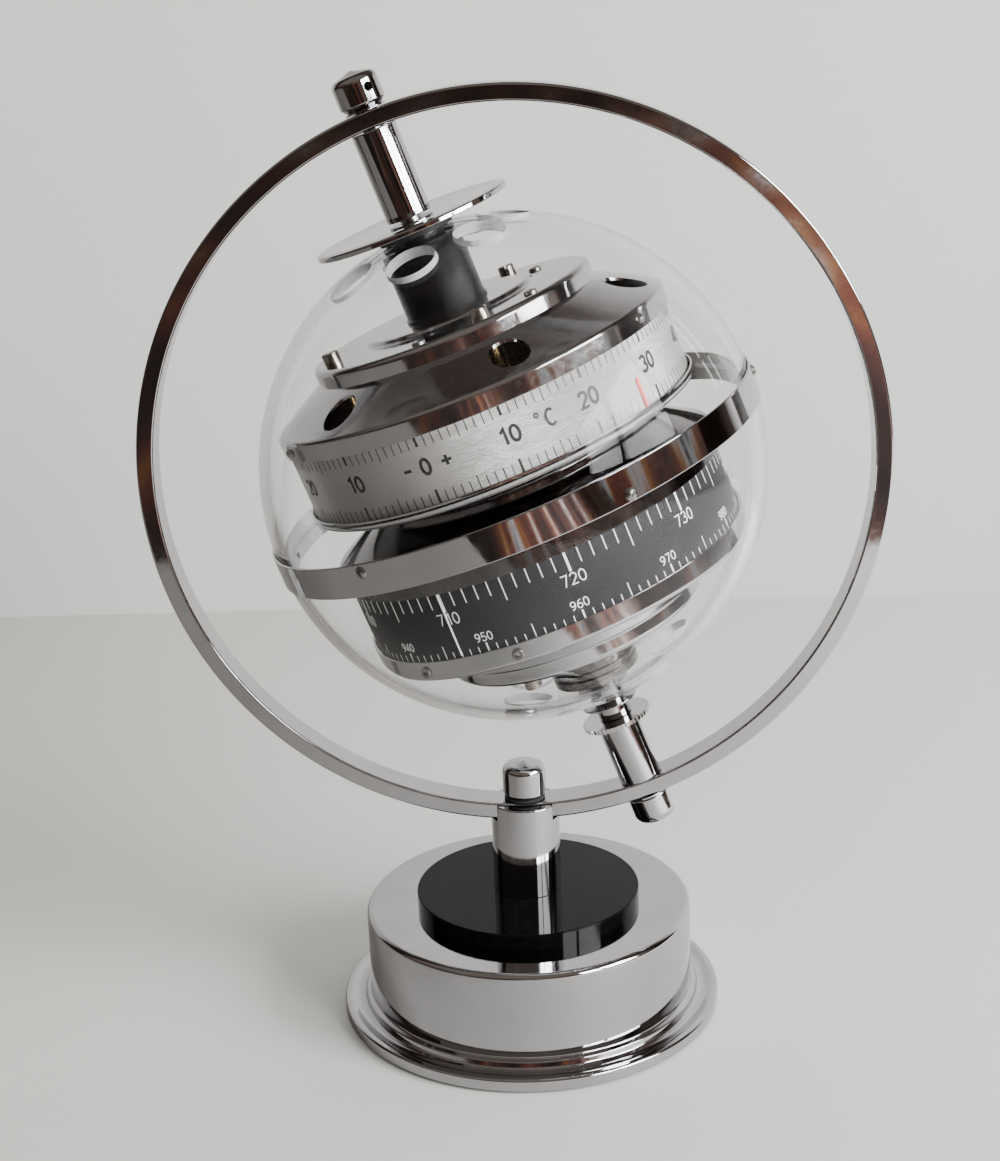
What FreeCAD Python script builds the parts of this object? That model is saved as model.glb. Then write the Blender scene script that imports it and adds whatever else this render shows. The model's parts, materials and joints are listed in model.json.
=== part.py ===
import FreeCAD, Part
import math
import os
import re

import Sketcher
from FreeCAD import Placement, Rotation, Vector

# A desk weather globe. A clear globe with a thermometer drum and a barometer drum
# spins on a tilted axle inside an upright ring that stands on a round base.
# Millimetres, +Z up. The origin is the middle of the base's resting face.
# Pieces on the axle are drawn about their own Z axis with the globe's centre at zero,
# then tipped over by axle_tilt and lifted to ring_centre.

DIMENSIONS = {
    # stand
    "ring_centre": 173.0, "axle_tilt": 20.0,
    "ring_outer": 110.0, "ring_inner": 104.9, "ring_width": 10.6, "ring_edge": 0.7,
    "flange_radius": 58.9, "flange_top": 3.9, "flange_gap": 0.4, "cove_radius": 3.0,
    "wall_radius": 50.5, "base_top": 33.9, "base_edge": 2.0, "base_sheet": 1.2,
    "ballast_radius": 48.8, "ballast_top": 32.6, "pad_radius": 48.8, "pad_top": 1.6,
    "well_radius": 12.0, "well_top": 12.0,
    "disc_radius": 34.6, "disc_edge": 0.5, "disc_top": 38.6,
    "rod_radius": 3.0, "rod_hole": 3.05, "rod_bottom": 4.0, "rod_top": 76.5,
    "rod_nut_bottom": 5.6, "rod_nut_radius": 5.8, "rod_flange_radius": 9.0, "rod_flange": 1.2,
    "column_radius": 10.5, "column_top": 67.8, "slot_floor": 62.95, "ring_slot": 12.4,
    "ring_washer_radius": 6.2, "ring_washer_bottom": 68.35, "ring_washer_top": 69.3,
    "dome_nut_radius": 6.65, "dome_nut_top": 80.5,
    # axle, measured along it from the globe's centre
    "axle_radius": 3.0, "axle_bore": 3.05, "axle_clear": 3.3,
    "sleeve_radius": 6.6, "sleeve_outer_end": 104.6, "sleeve_edge": 0.4,
    "upper_sleeve_end": 78.5, "lower_sleeve_end": 84.6,
    "upper_axle_head_bottom": 61.0, "upper_axle_shoulder": 64.0, "axle_head_radius": 5.5,
    "upper_knob_radius": 6.7, "knob_washer_radius": 6.0, "knob_washer_bottom": 110.05,
    "knob_bottom": 110.5, "upper_knob_top": 121.6, "upper_knob_dome": 2.6,
    "knob_chamfer": 1.6, "knob_bore_end": 117.0, "cross_hole_radius": 1.2,
    "cross_hole_level": 115.8, "cross_hole_angle": -55.0,
    "lower_knob_radius": 6.5, "lower_knob_end": 119.4, "lower_knob_round": 3.2,
    "collar_radius": 10.6, "collar_near": 83.25, "collar_far": 84.55, "collar_notches": 48,
    "lower_neck_radius": 5.0, "lower_neck_end": 83.0, "neck_disc_radius": 8.7,
    "neck_disc_near": 77.7, "neck_disc_far": 78.3, "lower_axle_inner_end": 62.5,
    # globe
    "globe_outer": 74.0, "globe_inner": 71.0, "globe_split": 0.05, "pole_flat": 73.35,
    "pole_hole": 8.0, "vent_radius": 7.5, "vent_circle": 25.0, "vent_count": 7,
    "upper_vent_angle": -94.1, "lower_vent_angle": -104.0,
    "band_inner": 74.05, "band_outer": 74.75, "band_half": 4.7, "band_screw_count": 6,
    "band_screw_angle": -123.6, "band_screw_radius": 1.85, "band_screw_high": 2.3,
    "band_screw_low": -2.7,
    "pole_disc_radius": 28.65, "pole_disc_bottom": 77.2, "pole_disc_top": 78.2,
    "pole_disc_lip": 76.3, "pole_disc_lip_width": 0.9,
    "pole_washer_radius": 11.0, "pole_washer_top": 77.15,
    "neck_radius": 11.8, "neck_bottom": 50.5, "neck_top": 69.8, "neck_lip": 12.3,
    "neck_lip_top": 51.4, "neck_spigot": 7.9, "neck_spigot_top": 77.1,
    "neck_recess": 6.0, "neck_recess_top": 64.1,
    "bush_radius": 13.5, "bush_near": 60.2, "bush_far": 69.3, "bush_groove": 1.0,
    "bush_spigot": 7.9, "bush_spigot_end": 73.3, "stem_radius": 8.0, "stem_near": 51.5,
    # covers of both instruments
    "sheet": 0.8, "cover_radius": 59.3, "rim_height": 5.4, "cone_height": 8.9,
    "step_radius": 42.3, "step_height": 5.0, "rim_edge": 1.4, "step_edge": 2.4,
    "boss_radius": 24.4, "boss_foot": 25.6, "boss_top": 50.5, "cover_vent_radius": 5.5,
    "cover_vent_circle": 50.6, "cover_vent_count": 6, "cover_vent_angle": -71.6,
    # thermometer, the upper instrument
    "thermo_rim": 29.9, "thermo_drum_radius": 58.1, "drum_wall": 0.8,
    "thermo_drum_bottom": 9.9, "thermo_drum_top": 35.0,
    "floor_radius": 59.4, "floor_inner": 58.8, "floor_bottom": 7.6, "floor_plate_top": 8.3,
    "floor_rim_top": 11.15, "arbor_radius": 1.0, "arbor_hole": 1.05,
    "thermo_arbor_bottom": 7.0, "thermo_arbor_top": 31.9,
    "thermo_plate_radius": 40.0, "thermo_plate_bottom": 31.0, "thermo_plate_top": 32.4,
    "pillar_radius": 2.5, "pillar_circle": 36.0,
    "thermo_post_radius": 2.0, "thermo_post_circle": 37.0,
    "coil_inner": 3.02, "coil_outer": 14.6, "coil_strip": 0.5, "coil_turns": 5.5,
    "coil_bottom": 20.0, "coil_height": 5.0, "collet_radius": 3.0, "stud_radius": 1.2,
    "thermo_pointer_angle": -41.1, "thermo_pointer_inner": 58.25, "pointer_strip": 0.3,
    "thermo_pointer_width": 1.1, "thermo_pointer_tip": 19.4, "thermo_arm_bottom": 9.0,
    "arm_thick": 0.5, "arm_width": 1.8, "pointer_hub_radius": 3.5, "hub_height": 1.7,
    # barometer, the lower instrument
    "baro_rim": -13.3, "baro_cover_radius": 59.0, "baro_cover_sheet": 0.6,
    "baro_step_height": 3.6, "baro_drum_radius": 57.6, "baro_drum_top": -10.3,
    "baro_drum_bottom": -36.4, "tray_rim_top": -32.2, "tray_radius": 58.9,
    "tray_step_radius": 40.5, "tray_step_height": 5.0, "baro_pointer_angle": -117.5,
    "baro_pointer_inner": 57.85, "baro_pointer_strip": 0.25, "baro_pointer_width": 0.4,
    "baro_arm_bottom": -9.7, "baro_pointer_tip": -32.0,
    "centre_post_radius": 1.5, "centre_post_top": 4.6, "post_nut_radius": 3.0,
    "post_nut_top": 6.2, "sleeve_arbor_bore": 1.55, "sleeve_arbor_radius": 2.2,
    "sleeve_arbor_bottom": -29.0, "sleeve_arbor_top": -7.9, "post_shoulder_radius": 2.4,
    "collet_bottom": -18.8, "collet_top": -16.8, "hair_collet": 2.85,
    "baro_plate_radius": 50.0, "baro_plate_bottom": -35.5, "baro_plate_top": -34.3,
    "baro_pillar_circle": 36.0, "gear_module": 0.5, "pinion_teeth": 14, "sector_teeth": 140,
    "sector_first": -2, "sector_last": 15, "pinion_bottom": -27.4, "pinion_top": -23.8,
    "sector_bottom": -26.2, "sector_top": -25.0, "sector_shaft_radius": 1.5,
    "sector_shaft_hole": 1.55, "sector_shaft_top": -20.4, "sector_tail": 3.6,
    "bridge_bottom": -22.0, "bridge_top": -20.8, "bridge_half": 4.0,
    "bridge_inner": 33.0, "bridge_outer": 49.0, "bridge_pillar_circle": 46.0,
    "hair_inner": 2.9, "hair_outer": 8.0, "hair_strip": 0.25, "hair_turns": 6.0,
    "hair_bottom": -18.2, "hair_height": 0.9,
    "capsule_radius": 26.0, "capsule_wall": 1.0, "capsule_bottom": -50.6,
    "capsule_top": -45.2, "diaphragm_radius": 24.7, "diaphragm_thick": 0.6,
    "diaphragm_level": -46.6, "ripple_height": 0.7, "lift_pin_radius": 1.5,
    "lift_pin_top": -41.3, "capsule_stud_radius": 3.0,
    "capsule_stud_end": -58.5, "stud_hole": 3.05, "rocker_level": -40.2, "rocker_offset": 8.0,
    "rocker_radius": 1.0, "rocker_hole": 1.05, "rocker_half": 9.0, "rocker_arm_top": -29.6,
    "link_level": -30.6, "link_radius": 0.35,
    # slotted screws and rivets
    "cheese_radius": 2.5, "cheese_height": 2.8, "screw_shank": 1.2, "screw_reach": 2.4,
    "slot_width": 0.7, "slot_depth": 0.9, "rim_screw_radius": 1.3, "rim_screw_height": 1.1,
    "rim_screw_level": 32.5, "rivet_radius": 1.7, "rivet_bore": 0.8, "rivet_height": 0.6,
    "rivet_level": -35.1,
}

doc = FreeCAD.newDocument("weather_globe")
dims = doc.addObject("Spreadsheet::Sheet", "dims")
for row, (alias, number) in enumerate(DIMENSIONS.items(), start=1):
    dims.set("A%d" % row, alias)
    dims.set("B%d" % row, str(number))
    dims.setAlias("B%d" % row, alias)
doc.recompute()

nodes = []

TRAY_SCREW_ANGLES = (-114, 6, 126)
COVER_SCREW_ANGLES = (-168, -72, 61)
COVER_RIVET_PLACES = ((-100, 38.0), (-46, 36.5), (32, 31.0))


def val(alias):
    return float(dims.get(alias))


def d(text):
    """Point every known alias in an expression at the spreadsheet."""
    return re.sub("[a-z_]+", lambda word: ("dims." if word[0] in DIMENSIONS else "") + word[0], text)


# ---------------------------------------------------------------- placing

def set_frame(item, frame):
    """Stand a piece upright, or put it on the tilted axle."""
    if frame == "axle":
        item.Placement = Placement(Vector(0, 0, 1), Rotation(Vector(0, 1, 0), -1))
        item.setExpression("Placement.Base.z", d("ring_centre"))
        item.setExpression("Placement.Rotation.Angle", d("0 - axle_tilt"))


def axle_placement():
    lift = Vector(0, 0, val("ring_centre"))
    return Placement(lift, Rotation(Vector(0, 1, 0), -val("axle_tilt")))


def keep(item, label, frame):
    item.Label = label
    set_frame(item, frame)
    nodes.append(item)
    return item


def polar(radius, angle, level=0.0):
    turn = math.radians(angle)
    return Vector(radius * math.cos(turn), radius * math.sin(turn), level)


# ---------------------------------------------------------------- bodies from sketches

def origin_part(body, role):
    return next(item for item in body.Origin.OriginFeatures if item.Role == role)


def new_sketch(body, name, plane):
    sketch = body.newObject("Sketcher::SketchObject", name)
    sketch.AttachmentSupport = [(origin_part(body, plane), "")]
    sketch.MapMode = "FlatFace"
    return sketch


def pin_vertex(sketch, index, across, along):
    """Hold one corner of an outline at two spreadsheet expressions."""
    corner = sketch.Geometry[index].StartPoint
    for kind, axis, text, start in (("DistanceX", -2, across, corner.x),
                                    ("DistanceY", -1, along, corner.y)):
        if text == "0":
            sketch.addConstraint(Sketcher.Constraint("PointOnObject", index, 1, axis))
            continue
        number = sketch.addConstraint(Sketcher.Constraint(kind, -1, 1, index, 1, start))
        sketch.setExpression("Constraints[%d]" % number, d(text))


def outline(sketch, corners):
    """A closed outline of straight lines through (across, along) expressions."""
    count = len(corners)
    ring = [polar(5.0, 360.0 * index / count) + Vector(20, 0, 0) for index in range(count)]
    for index in range(count):
        line = Part.LineSegment(ring[index], ring[(index + 1) % count])
        sketch.addGeometry(line, False)
    for index in range(count):
        joint = Sketcher.Constraint("Coincident", index, 2, (index + 1) % count, 1)
        sketch.addConstraint(joint)
    for index, (across, along) in enumerate(corners):
        pin_vertex(sketch, index, across, along)


def turned(label, corners, frame="upright", register=True):
    """A body turned about Z from an outline in the XZ plane."""
    body = doc.addObject("PartDesign::Body", label)
    sketch = new_sketch(body, label + "_outline", "XZ_Plane")
    outline(sketch, corners)
    turn = body.newObject("PartDesign::Revolution", label + "_turn")
    turn.Profile = sketch
    turn.ReferenceAxis = (sketch, ["V_Axis"])
    turn.Angle = 360
    doc.recompute()
    if register:
        keep(body, label, frame)
    return body


def circle_at(sketch, radius, across, along):
    """A circle whose radius and centre are spreadsheet expressions."""
    shape = Part.Circle(Vector(3, 4, 0), Vector(0, 0, 1), 1)
    index = sketch.addGeometry(shape, False)
    size = sketch.addConstraint(Sketcher.Constraint("Radius", index, 1.0))
    sketch.setExpression("Constraints[%d]" % size, d(radius))
    for kind, axis, text in (("DistanceX", -2, across), ("DistanceY", -1, along)):
        if text == "0":
            sketch.addConstraint(Sketcher.Constraint("PointOnObject", index, 3, axis))
            continue
        number = sketch.addConstraint(Sketcher.Constraint(kind, -1, 1, index, 3, 1.0))
        sketch.setExpression("Constraints[%d]" % number, d(text))
    return index


def drill(body, name, radius, across="0", along="0", plane="XY_Plane"):
    """A round hole right through a body, square to one of its origin planes."""
    sketch = new_sketch(body, name + "_circle", plane)
    circle_at(sketch, radius, across, along)
    hole = body.newObject("PartDesign::Pocket", name)
    hole.Profile = sketch
    hole.Type = 1
    hole.Midplane = True
    doc.recompute()
    return hole


def repeat_round(body, feature, count):
    pattern = body.newObject("PartDesign::PolarPattern", feature.Name + "_ring")
    pattern.Originals = [feature]
    pattern.Axis = (origin_part(body, "Z_Axis"), [""])
    pattern.Angle = 360
    pattern.setExpression("Occurrences", d(count))
    body.Tip = pattern
    doc.recompute()
    return pattern


def round_edges(body, places, radius, kind="Fillet"):
    """Round or bevel the circular edges that lie at the given (radius, level) places."""
    base = body.Tip
    names = []
    for number, edge in enumerate(base.Shape.Edges, start=1):
        curve = edge.Curve
        if not isinstance(curve, Part.Circle):
            continue
        for ring, level in places:
            if abs(curve.Radius - ring) < 0.01 and abs(curve.Center.z - level) < 0.01:
                names.append("Edge%d" % number)
    blend = body.newObject("PartDesign::" + kind, body.Name + "_" + kind)
    blend.Base = (base, names)
    blend.setExpression("Radius" if kind == "Fillet" else "Size", d(radius))
    doc.recompute()
    return blend


# ---------------------------------------------------------------- small solids

def cylinder(radius, low, high, place=Vector(0, 0, 0)):
    return Part.makeCylinder(radius, high - low, Vector(place.x, place.y, low))


def slot_cutter(top, width, depth, reach):
    return Part.makeBox(2 * reach, width, depth, Vector(-reach, -width / 2, top - depth))


def cheese_screw():
    """A cheese-head screw standing on Z = 0."""
    head = cylinder(val("cheese_radius"), 0, val("cheese_height"))
    edge = [item for item in head.Edges if abs(item.BoundBox.ZMin - val("cheese_height")) < 0.01]
    head = head.makeFillet(0.5, edge)
    shank = cylinder(val("screw_shank"), -val("screw_reach"), 0)
    cutter = slot_cutter(val("cheese_height"), val("slot_width"), val("slot_depth"), 4)
    return head.fuse(shank).cut(cutter)


def round_screw(radius, height, reach):
    """A round-head slotted screw standing on Z = 0."""
    ball = (radius ** 2 + height ** 2) / (2 * height)
    dome = Part.makeSphere(ball, Vector(0, 0, height - ball))
    head = dome.common(cylinder(radius, 0, height))
    shank = cylinder(radius * 0.5, -reach, 0)
    cutter = slot_cutter(height, radius * 0.3, height * 0.45, 2 * radius)
    return head.fuse(shank).cut(cutter)


def rivet(radius, bore, height, reach):
    """A hollow rivet standing on Z = 0."""
    head = cylinder(radius, 0, height)
    edge = [item for item in head.Edges if abs(item.BoundBox.ZMin - height) < 0.01]
    head = head.makeFillet(height * 0.6, edge)
    return head.fuse(cylinder(bore + 0.3, -reach, 0)).cut(cylinder(bore, -reach, height))


def group(label, solids, frame="axle"):
    """Equal fasteners as one node of separate solids."""
    item = doc.addObject("Part::Feature", label)
    item.Shape = Part.makeCompound(solids)
    item.Label = label
    if frame == "axle":
        item.Placement = axle_placement()
    nodes.append(item)
    return item


def solid_node(label, shape, frame="axle"):
    return group(label, [shape.removeSplitter()], frame)


def stood(solid, place, facing=Vector(0, 0, 1), spin=0.0):
    """Copy a solid to a place with its Z axis along facing."""
    turned_to = Rotation(Vector(0, 0, 1), facing).multiply(Rotation(Vector(0, 0, 1), spin))
    copy = solid.copy()
    copy.Placement = Placement(place, turned_to)
    return copy


def spiral_strip(inner, outer, turns, strip, low, height, start):
    """A flat spiral spring of rectangular strip."""
    steps = int(turns * 24)

    def edge_points(shift):
        points = []
        for step in range(steps + 1):
            share = step / steps
            radius = inner + (outer - inner) * share + shift
            points.append(polar(radius, start + 360.0 * turns * share, low))
        return points

    sides = []
    for points in (edge_points(0.0), edge_points(strip)):
        curve = Part.BSplineCurve()
        curve.interpolate(points)
        sides.append(curve)
    near, far = [side.toShape() for side in sides]
    ends = [Part.makeLine(sides[0].StartPoint, sides[1].StartPoint),
            Part.makeLine(sides[0].EndPoint, sides[1].EndPoint)]
    face = Part.Face(Part.Wire(Part.__sortEdges__([near, ends[1], far, ends[0]])))
    return face.extrude(Vector(0, 0, height))


def involute_tooth(teeth, module, thin):
    """One tooth's outline about angle zero, from root to root, thinned by thin."""
    pitch = teeth * module / 2
    base = pitch * math.cos(math.radians(20))
    tip = pitch + module * 0.9
    root = pitch - module * 1.2
    lean = math.tan(math.radians(20)) - math.radians(20)
    half = math.pi / (2 * teeth) - thin / pitch + lean

    def flank_angle(radius):
        if radius <= base:
            return half
        roll = math.sqrt((radius / base) ** 2 - 1)
        return half - (roll - math.atan(roll))

    start = max(base, root)
    radii = [root] + [start + (tip - start) * step / 5 for step in range(6)]
    side = [(radius, flank_angle(radius)) for radius in radii]
    return side


def gear_outline(teeth, module, first, last, offset, thin):
    """Corners along the toothed rim for teeth numbered first to last."""
    side = involute_tooth(teeth, module, thin)
    corners = []
    for number in range(first, last + 1):
        middle = offset + 2 * math.pi * number / teeth
        for radius, angle in side:
            corners.append(polar(radius, math.degrees(middle - angle)))
        for radius, angle in reversed(side):
            corners.append(polar(radius, math.degrees(middle + angle)))
    return corners


def plate_from(corners, low, high):
    loop = [Vector(corner.x, corner.y, low) for corner in corners]
    return Part.Face(Part.makePolygon(loop + [loop[0]])).extrude(Vector(0, 0, high - low))


# ---------------------------------------------------------------- base

def base_pieces():
    shell = turned("base_shell", [
        ("flange_radius", "flange_gap"), ("flange_radius", "flange_top"),
        ("wall_radius", "flange_top"), ("wall_radius", "base_top"),
        ("rod_hole", "base_top"), ("rod_hole", "base_top - base_sheet"),
        ("wall_radius - base_sheet", "base_top - base_sheet"),
        ("wall_radius - base_sheet", "flange_gap")])
    round_edges(shell, [(val("wall_radius"), val("flange_top"))], "cove_radius")
    round_edges(shell, [(val("wall_radius"), val("base_top"))], "base_edge")
    round_edges(shell, [(val("flange_radius"), val("flange_top"))], "base_sheet")
    turned("base_ballast", [
        ("well_radius", "pad_top"), ("ballast_radius", "pad_top"),
        ("ballast_radius", "ballast_top"), ("rod_hole", "ballast_top"),
        ("rod_hole", "well_top"), ("well_radius", "well_top")])
    turned("base_pad", [
        ("0", "0"), ("pad_radius", "0"), ("pad_radius", "pad_top"), ("0", "pad_top")])
    disc = turned("base_disc", [
        ("rod_hole", "base_top"), ("disc_radius", "base_top"),
        ("disc_radius", "disc_top"), ("rod_hole", "disc_top")])
    round_edges(disc, [(val("disc_radius"), val("disc_top"))], "disc_edge")
    turned("stand_rod", [
        ("0", "rod_bottom"), ("rod_radius", "rod_bottom"),
        ("rod_radius", "rod_top"), ("0", "rod_top")])
    corners = [polar(val("rod_nut_radius"), 60.0 * side) for side in range(6)]
    flange_bottom = val("well_top") - val("rod_flange")
    nut = plate_from(corners, val("rod_nut_bottom"), flange_bottom)
    nut = nut.fuse(cylinder(val("rod_flange_radius"), flange_bottom, val("well_top")))
    solid_node("rod_nut", nut.cut(cylinder(val("rod_hole"), 0, 40)), "upright")


def ring_seat_pieces():
    column = turned("ring_column", [
        ("rod_hole", "disc_top"), ("column_radius", "disc_top"),
        ("column_radius", "column_top"), ("rod_hole", "column_top")])
    slot = new_sketch(column, "ring_slot_outline", "YZ_Plane")
    outline(slot, [("0 - ring_slot / 2", "slot_floor"), ("ring_slot / 2", "slot_floor"),
                   ("ring_slot / 2", "column_top + 1"), ("0 - ring_slot / 2", "column_top + 1")])
    cut = column.newObject("PartDesign::Pocket", "ring_slot_cut")
    cut.Profile = slot
    cut.Type = 1
    cut.Midplane = True
    doc.recompute()
    turned("ring_washer", [
        ("rod_hole", "ring_washer_bottom"), ("ring_washer_radius", "ring_washer_bottom"),
        ("ring_washer_radius", "ring_washer_top"), ("rod_hole", "ring_washer_top")])
    nut = turned("ring_dome_nut", [
        ("rod_hole", "ring_washer_top"), ("dome_nut_radius", "ring_washer_top"),
        ("dome_nut_radius", "dome_nut_top"), ("0", "dome_nut_top"),
        ("0", "rod_top + 0.5"), ("rod_hole", "rod_top + 0.5")])
    round_edges(nut, [(val("dome_nut_radius"), val("dome_nut_top"))], "dome_nut_radius / 2")
    round_edges(nut, [(val("dome_nut_radius"), val("ring_washer_top"))], "base_sheet", "Chamfer")


def ring_piece():
    body = doc.addObject("PartDesign::Body", "ring_band")
    sketch = new_sketch(body, "ring_circles", "XZ_Plane")
    circle_at(sketch, "ring_outer", "0", "ring_centre")
    circle_at(sketch, "ring_inner", "0", "ring_centre")
    pad = body.newObject("PartDesign::Pad", "ring_pad")
    pad.Profile = sketch
    pad.Midplane = True
    pad.setExpression("Length", d("ring_width"))
    doc.recompute()
    rims = ["Edge%d" % number for number, edge in enumerate(pad.Shape.Edges, start=1)
            if isinstance(edge.Curve, Part.Circle)]
    blend = body.newObject("PartDesign::Fillet", "ring_edges")
    blend.Base = (pad, rims)
    blend.setExpression("Radius", d("ring_edge"))
    doc.recompute()
    bolt = doc.addObject("Part::Cylinder", "ring_bolt_way")
    bolt.setExpression("Radius", d("rod_hole + 0.05"))
    bolt.setExpression("Height", d("ring_centre"))
    axle = doc.addObject("Part::Cylinder", "ring_axle_way")
    axle.setExpression("Radius", d("axle_clear"))
    axle.setExpression("Height", d("3 * ring_outer"))
    tilt = Rotation(Vector(0, 1, 0), -val("axle_tilt"))
    centre = Vector(0, 0, val("ring_centre"))
    axle.Placement = Placement(centre - tilt.multVec(Vector(0, 0, 1.5 * val("ring_outer"))), tilt)
    ways = doc.addObject("Part::MultiFuse", "ring_ways")
    ways.Shapes = [bolt, axle]
    ring = doc.addObject("Part::Cut", "meridian_ring")
    ring.Base = body
    ring.Tool = ways
    doc.recompute()
    keep(ring, "meridian_ring", "upright")


def axle_pieces():
    for side, near in (("upper", "upper_sleeve_end"), ("lower", "lower_sleeve_end")):
        sign = "" if side == "upper" else "0 - "
        sleeve = turned(side + "_sleeve", [
            ("axle_clear", sign + near), ("sleeve_radius", sign + near),
            ("sleeve_radius", sign + "sleeve_outer_end"), ("axle_clear", sign + "sleeve_outer_end")],
            "axle")
        facing = 1 if side == "upper" else -1
        ends = [(val("sleeve_radius"), facing * val(near)),
                (val("sleeve_radius"), facing * val("sleeve_outer_end"))]
        round_edges(sleeve, ends, "sleeve_edge")
    washer = cylinder(val("knob_washer_radius"), val("knob_washer_bottom"), val("knob_bottom"))
    washer = washer.cut(cylinder(val("axle_clear"), 0, 200))
    group("knob_washers", [washer, stood(washer, Vector(0, 0, 0), Vector(0, 0, -1))])
    turned("upper_axle", [
        ("0", "upper_axle_head_bottom"), ("axle_head_radius", "upper_axle_head_bottom"),
        ("axle_head_radius", "upper_axle_shoulder"), ("axle_radius", "upper_axle_shoulder"),
        ("axle_radius", "knob_bore_end - 0.5"), ("0", "knob_bore_end - 0.5")], "axle")
    turned("lower_axle", [
        ("0", "0 - lower_axle_inner_end"), ("axle_radius", "0 - lower_axle_inner_end"),
        ("axle_radius", "0.5 - knob_bore_end"), ("0", "0.5 - knob_bore_end")], "axle")
    knob = turned("upper_knob", [
        ("axle_bore", "knob_bottom"), ("upper_knob_radius", "knob_bottom"),
        ("upper_knob_radius", "upper_knob_top"), ("0", "upper_knob_top"),
        ("0", "knob_bore_end"), ("axle_bore", "knob_bore_end")], "axle")
    round_edges(knob, [(val("upper_knob_radius"), val("upper_knob_top"))], "upper_knob_dome")
    round_edges(knob, [(val("upper_knob_radius"), val("knob_bottom"))], "knob_chamfer", "Chamfer")
    way = new_sketch(knob, "cross_hole_circle", "XZ_Plane")
    way.AttachmentOffset = Placement(Vector(0, 0, 0), Rotation(Vector(0, 1, 0), 90 + val("cross_hole_angle")))
    circle_at(way, "cross_hole_radius", "0", "cross_hole_level")
    hole = knob.newObject("PartDesign::Pocket", "cross_hole")
    hole.Profile = way
    hole.Type = 1
    hole.Midplane = True
    doc.recompute()
    cap = turned("lower_knob", [
        ("axle_bore", "0 - knob_bottom"), ("lower_knob_radius", "0 - knob_bottom"),
        ("lower_knob_radius", "0 - lower_knob_end"), ("0", "0 - lower_knob_end"),
        ("0", "0 - knob_bore_end"), ("axle_bore", "0 - knob_bore_end")], "axle")
    round_edges(cap, [(val("lower_knob_radius"), -val("lower_knob_end"))], "lower_knob_round")
    collar = turned("axle_collar", [
        ("axle_clear", "0 - collar_far"), ("collar_radius", "0 - collar_far"),
        ("collar_radius", "0 - collar_near"), ("axle_clear", "0 - collar_near")], "axle")
    notch = drill(collar, "collar_notch", "0.35", "collar_radius + 0.1", "0")
    repeat_round(collar, notch, "collar_notches")


# ---------------------------------------------------------------- globe

def hemisphere(label, side, vent_start):
    low, high = (0, 90) if side > 0 else (-90, 0)
    outer = doc.addObject("Part::Sphere", label + "_outside")
    outer.setExpression("Radius", d("globe_outer"))
    inner = doc.addObject("Part::Sphere", label + "_inside")
    inner.setExpression("Radius", d("globe_inner"))
    for ball in (outer, inner):
        ball.Angle1 = low
        ball.Angle2 = high
    trim = doc.addObject("Part::Cylinder", label + "_trim")
    trim.setExpression("Radius", d("globe_outer + 1"))
    trim.setExpression("Height", d("pole_flat - globe_split"))
    base = val("globe_split") if side > 0 else -val("pole_flat")
    trim.Placement.Base = Vector(0, 0, base)
    wall = doc.addObject("Part::Common", label + "_wall")
    wall.Base = outer
    wall.Tool = trim
    pole = doc.addObject("Part::Cylinder", label + "_pole_hole")
    pole.setExpression("Radius", d("pole_hole"))
    pole.setExpression("Height", d("2 * globe_outer"))
    pole.Placement.Base = Vector(0, 0, 0 if side > 0 else -2 * val("globe_outer"))
    openings = [inner, pole]
    lean = math.degrees(math.asin(val("vent_circle") / val("globe_outer")))
    for number in range(int(val("vent_count"))):
        vent = doc.addObject("Part::Cylinder", label + "_vent")
        vent.setExpression("Radius", d("vent_radius"))
        vent.setExpression("Height", d("globe_outer + 5"))
        around = vent_start + 360.0 * number / val("vent_count")
        tip = Rotation(Vector(0, 1, 0), lean if side > 0 else 180 - lean)
        vent.Placement = Placement(Vector(0, 0, 0), Rotation(Vector(0, 0, 1), around).multiply(tip))
        openings.append(vent)
    tools = doc.addObject("Part::MultiFuse", label + "_openings")
    tools.Shapes = openings
    shell = doc.addObject("Part::Cut", label)
    shell.Base = wall
    shell.Tool = tools
    doc.recompute()
    keep(shell, label, "axle")


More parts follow.
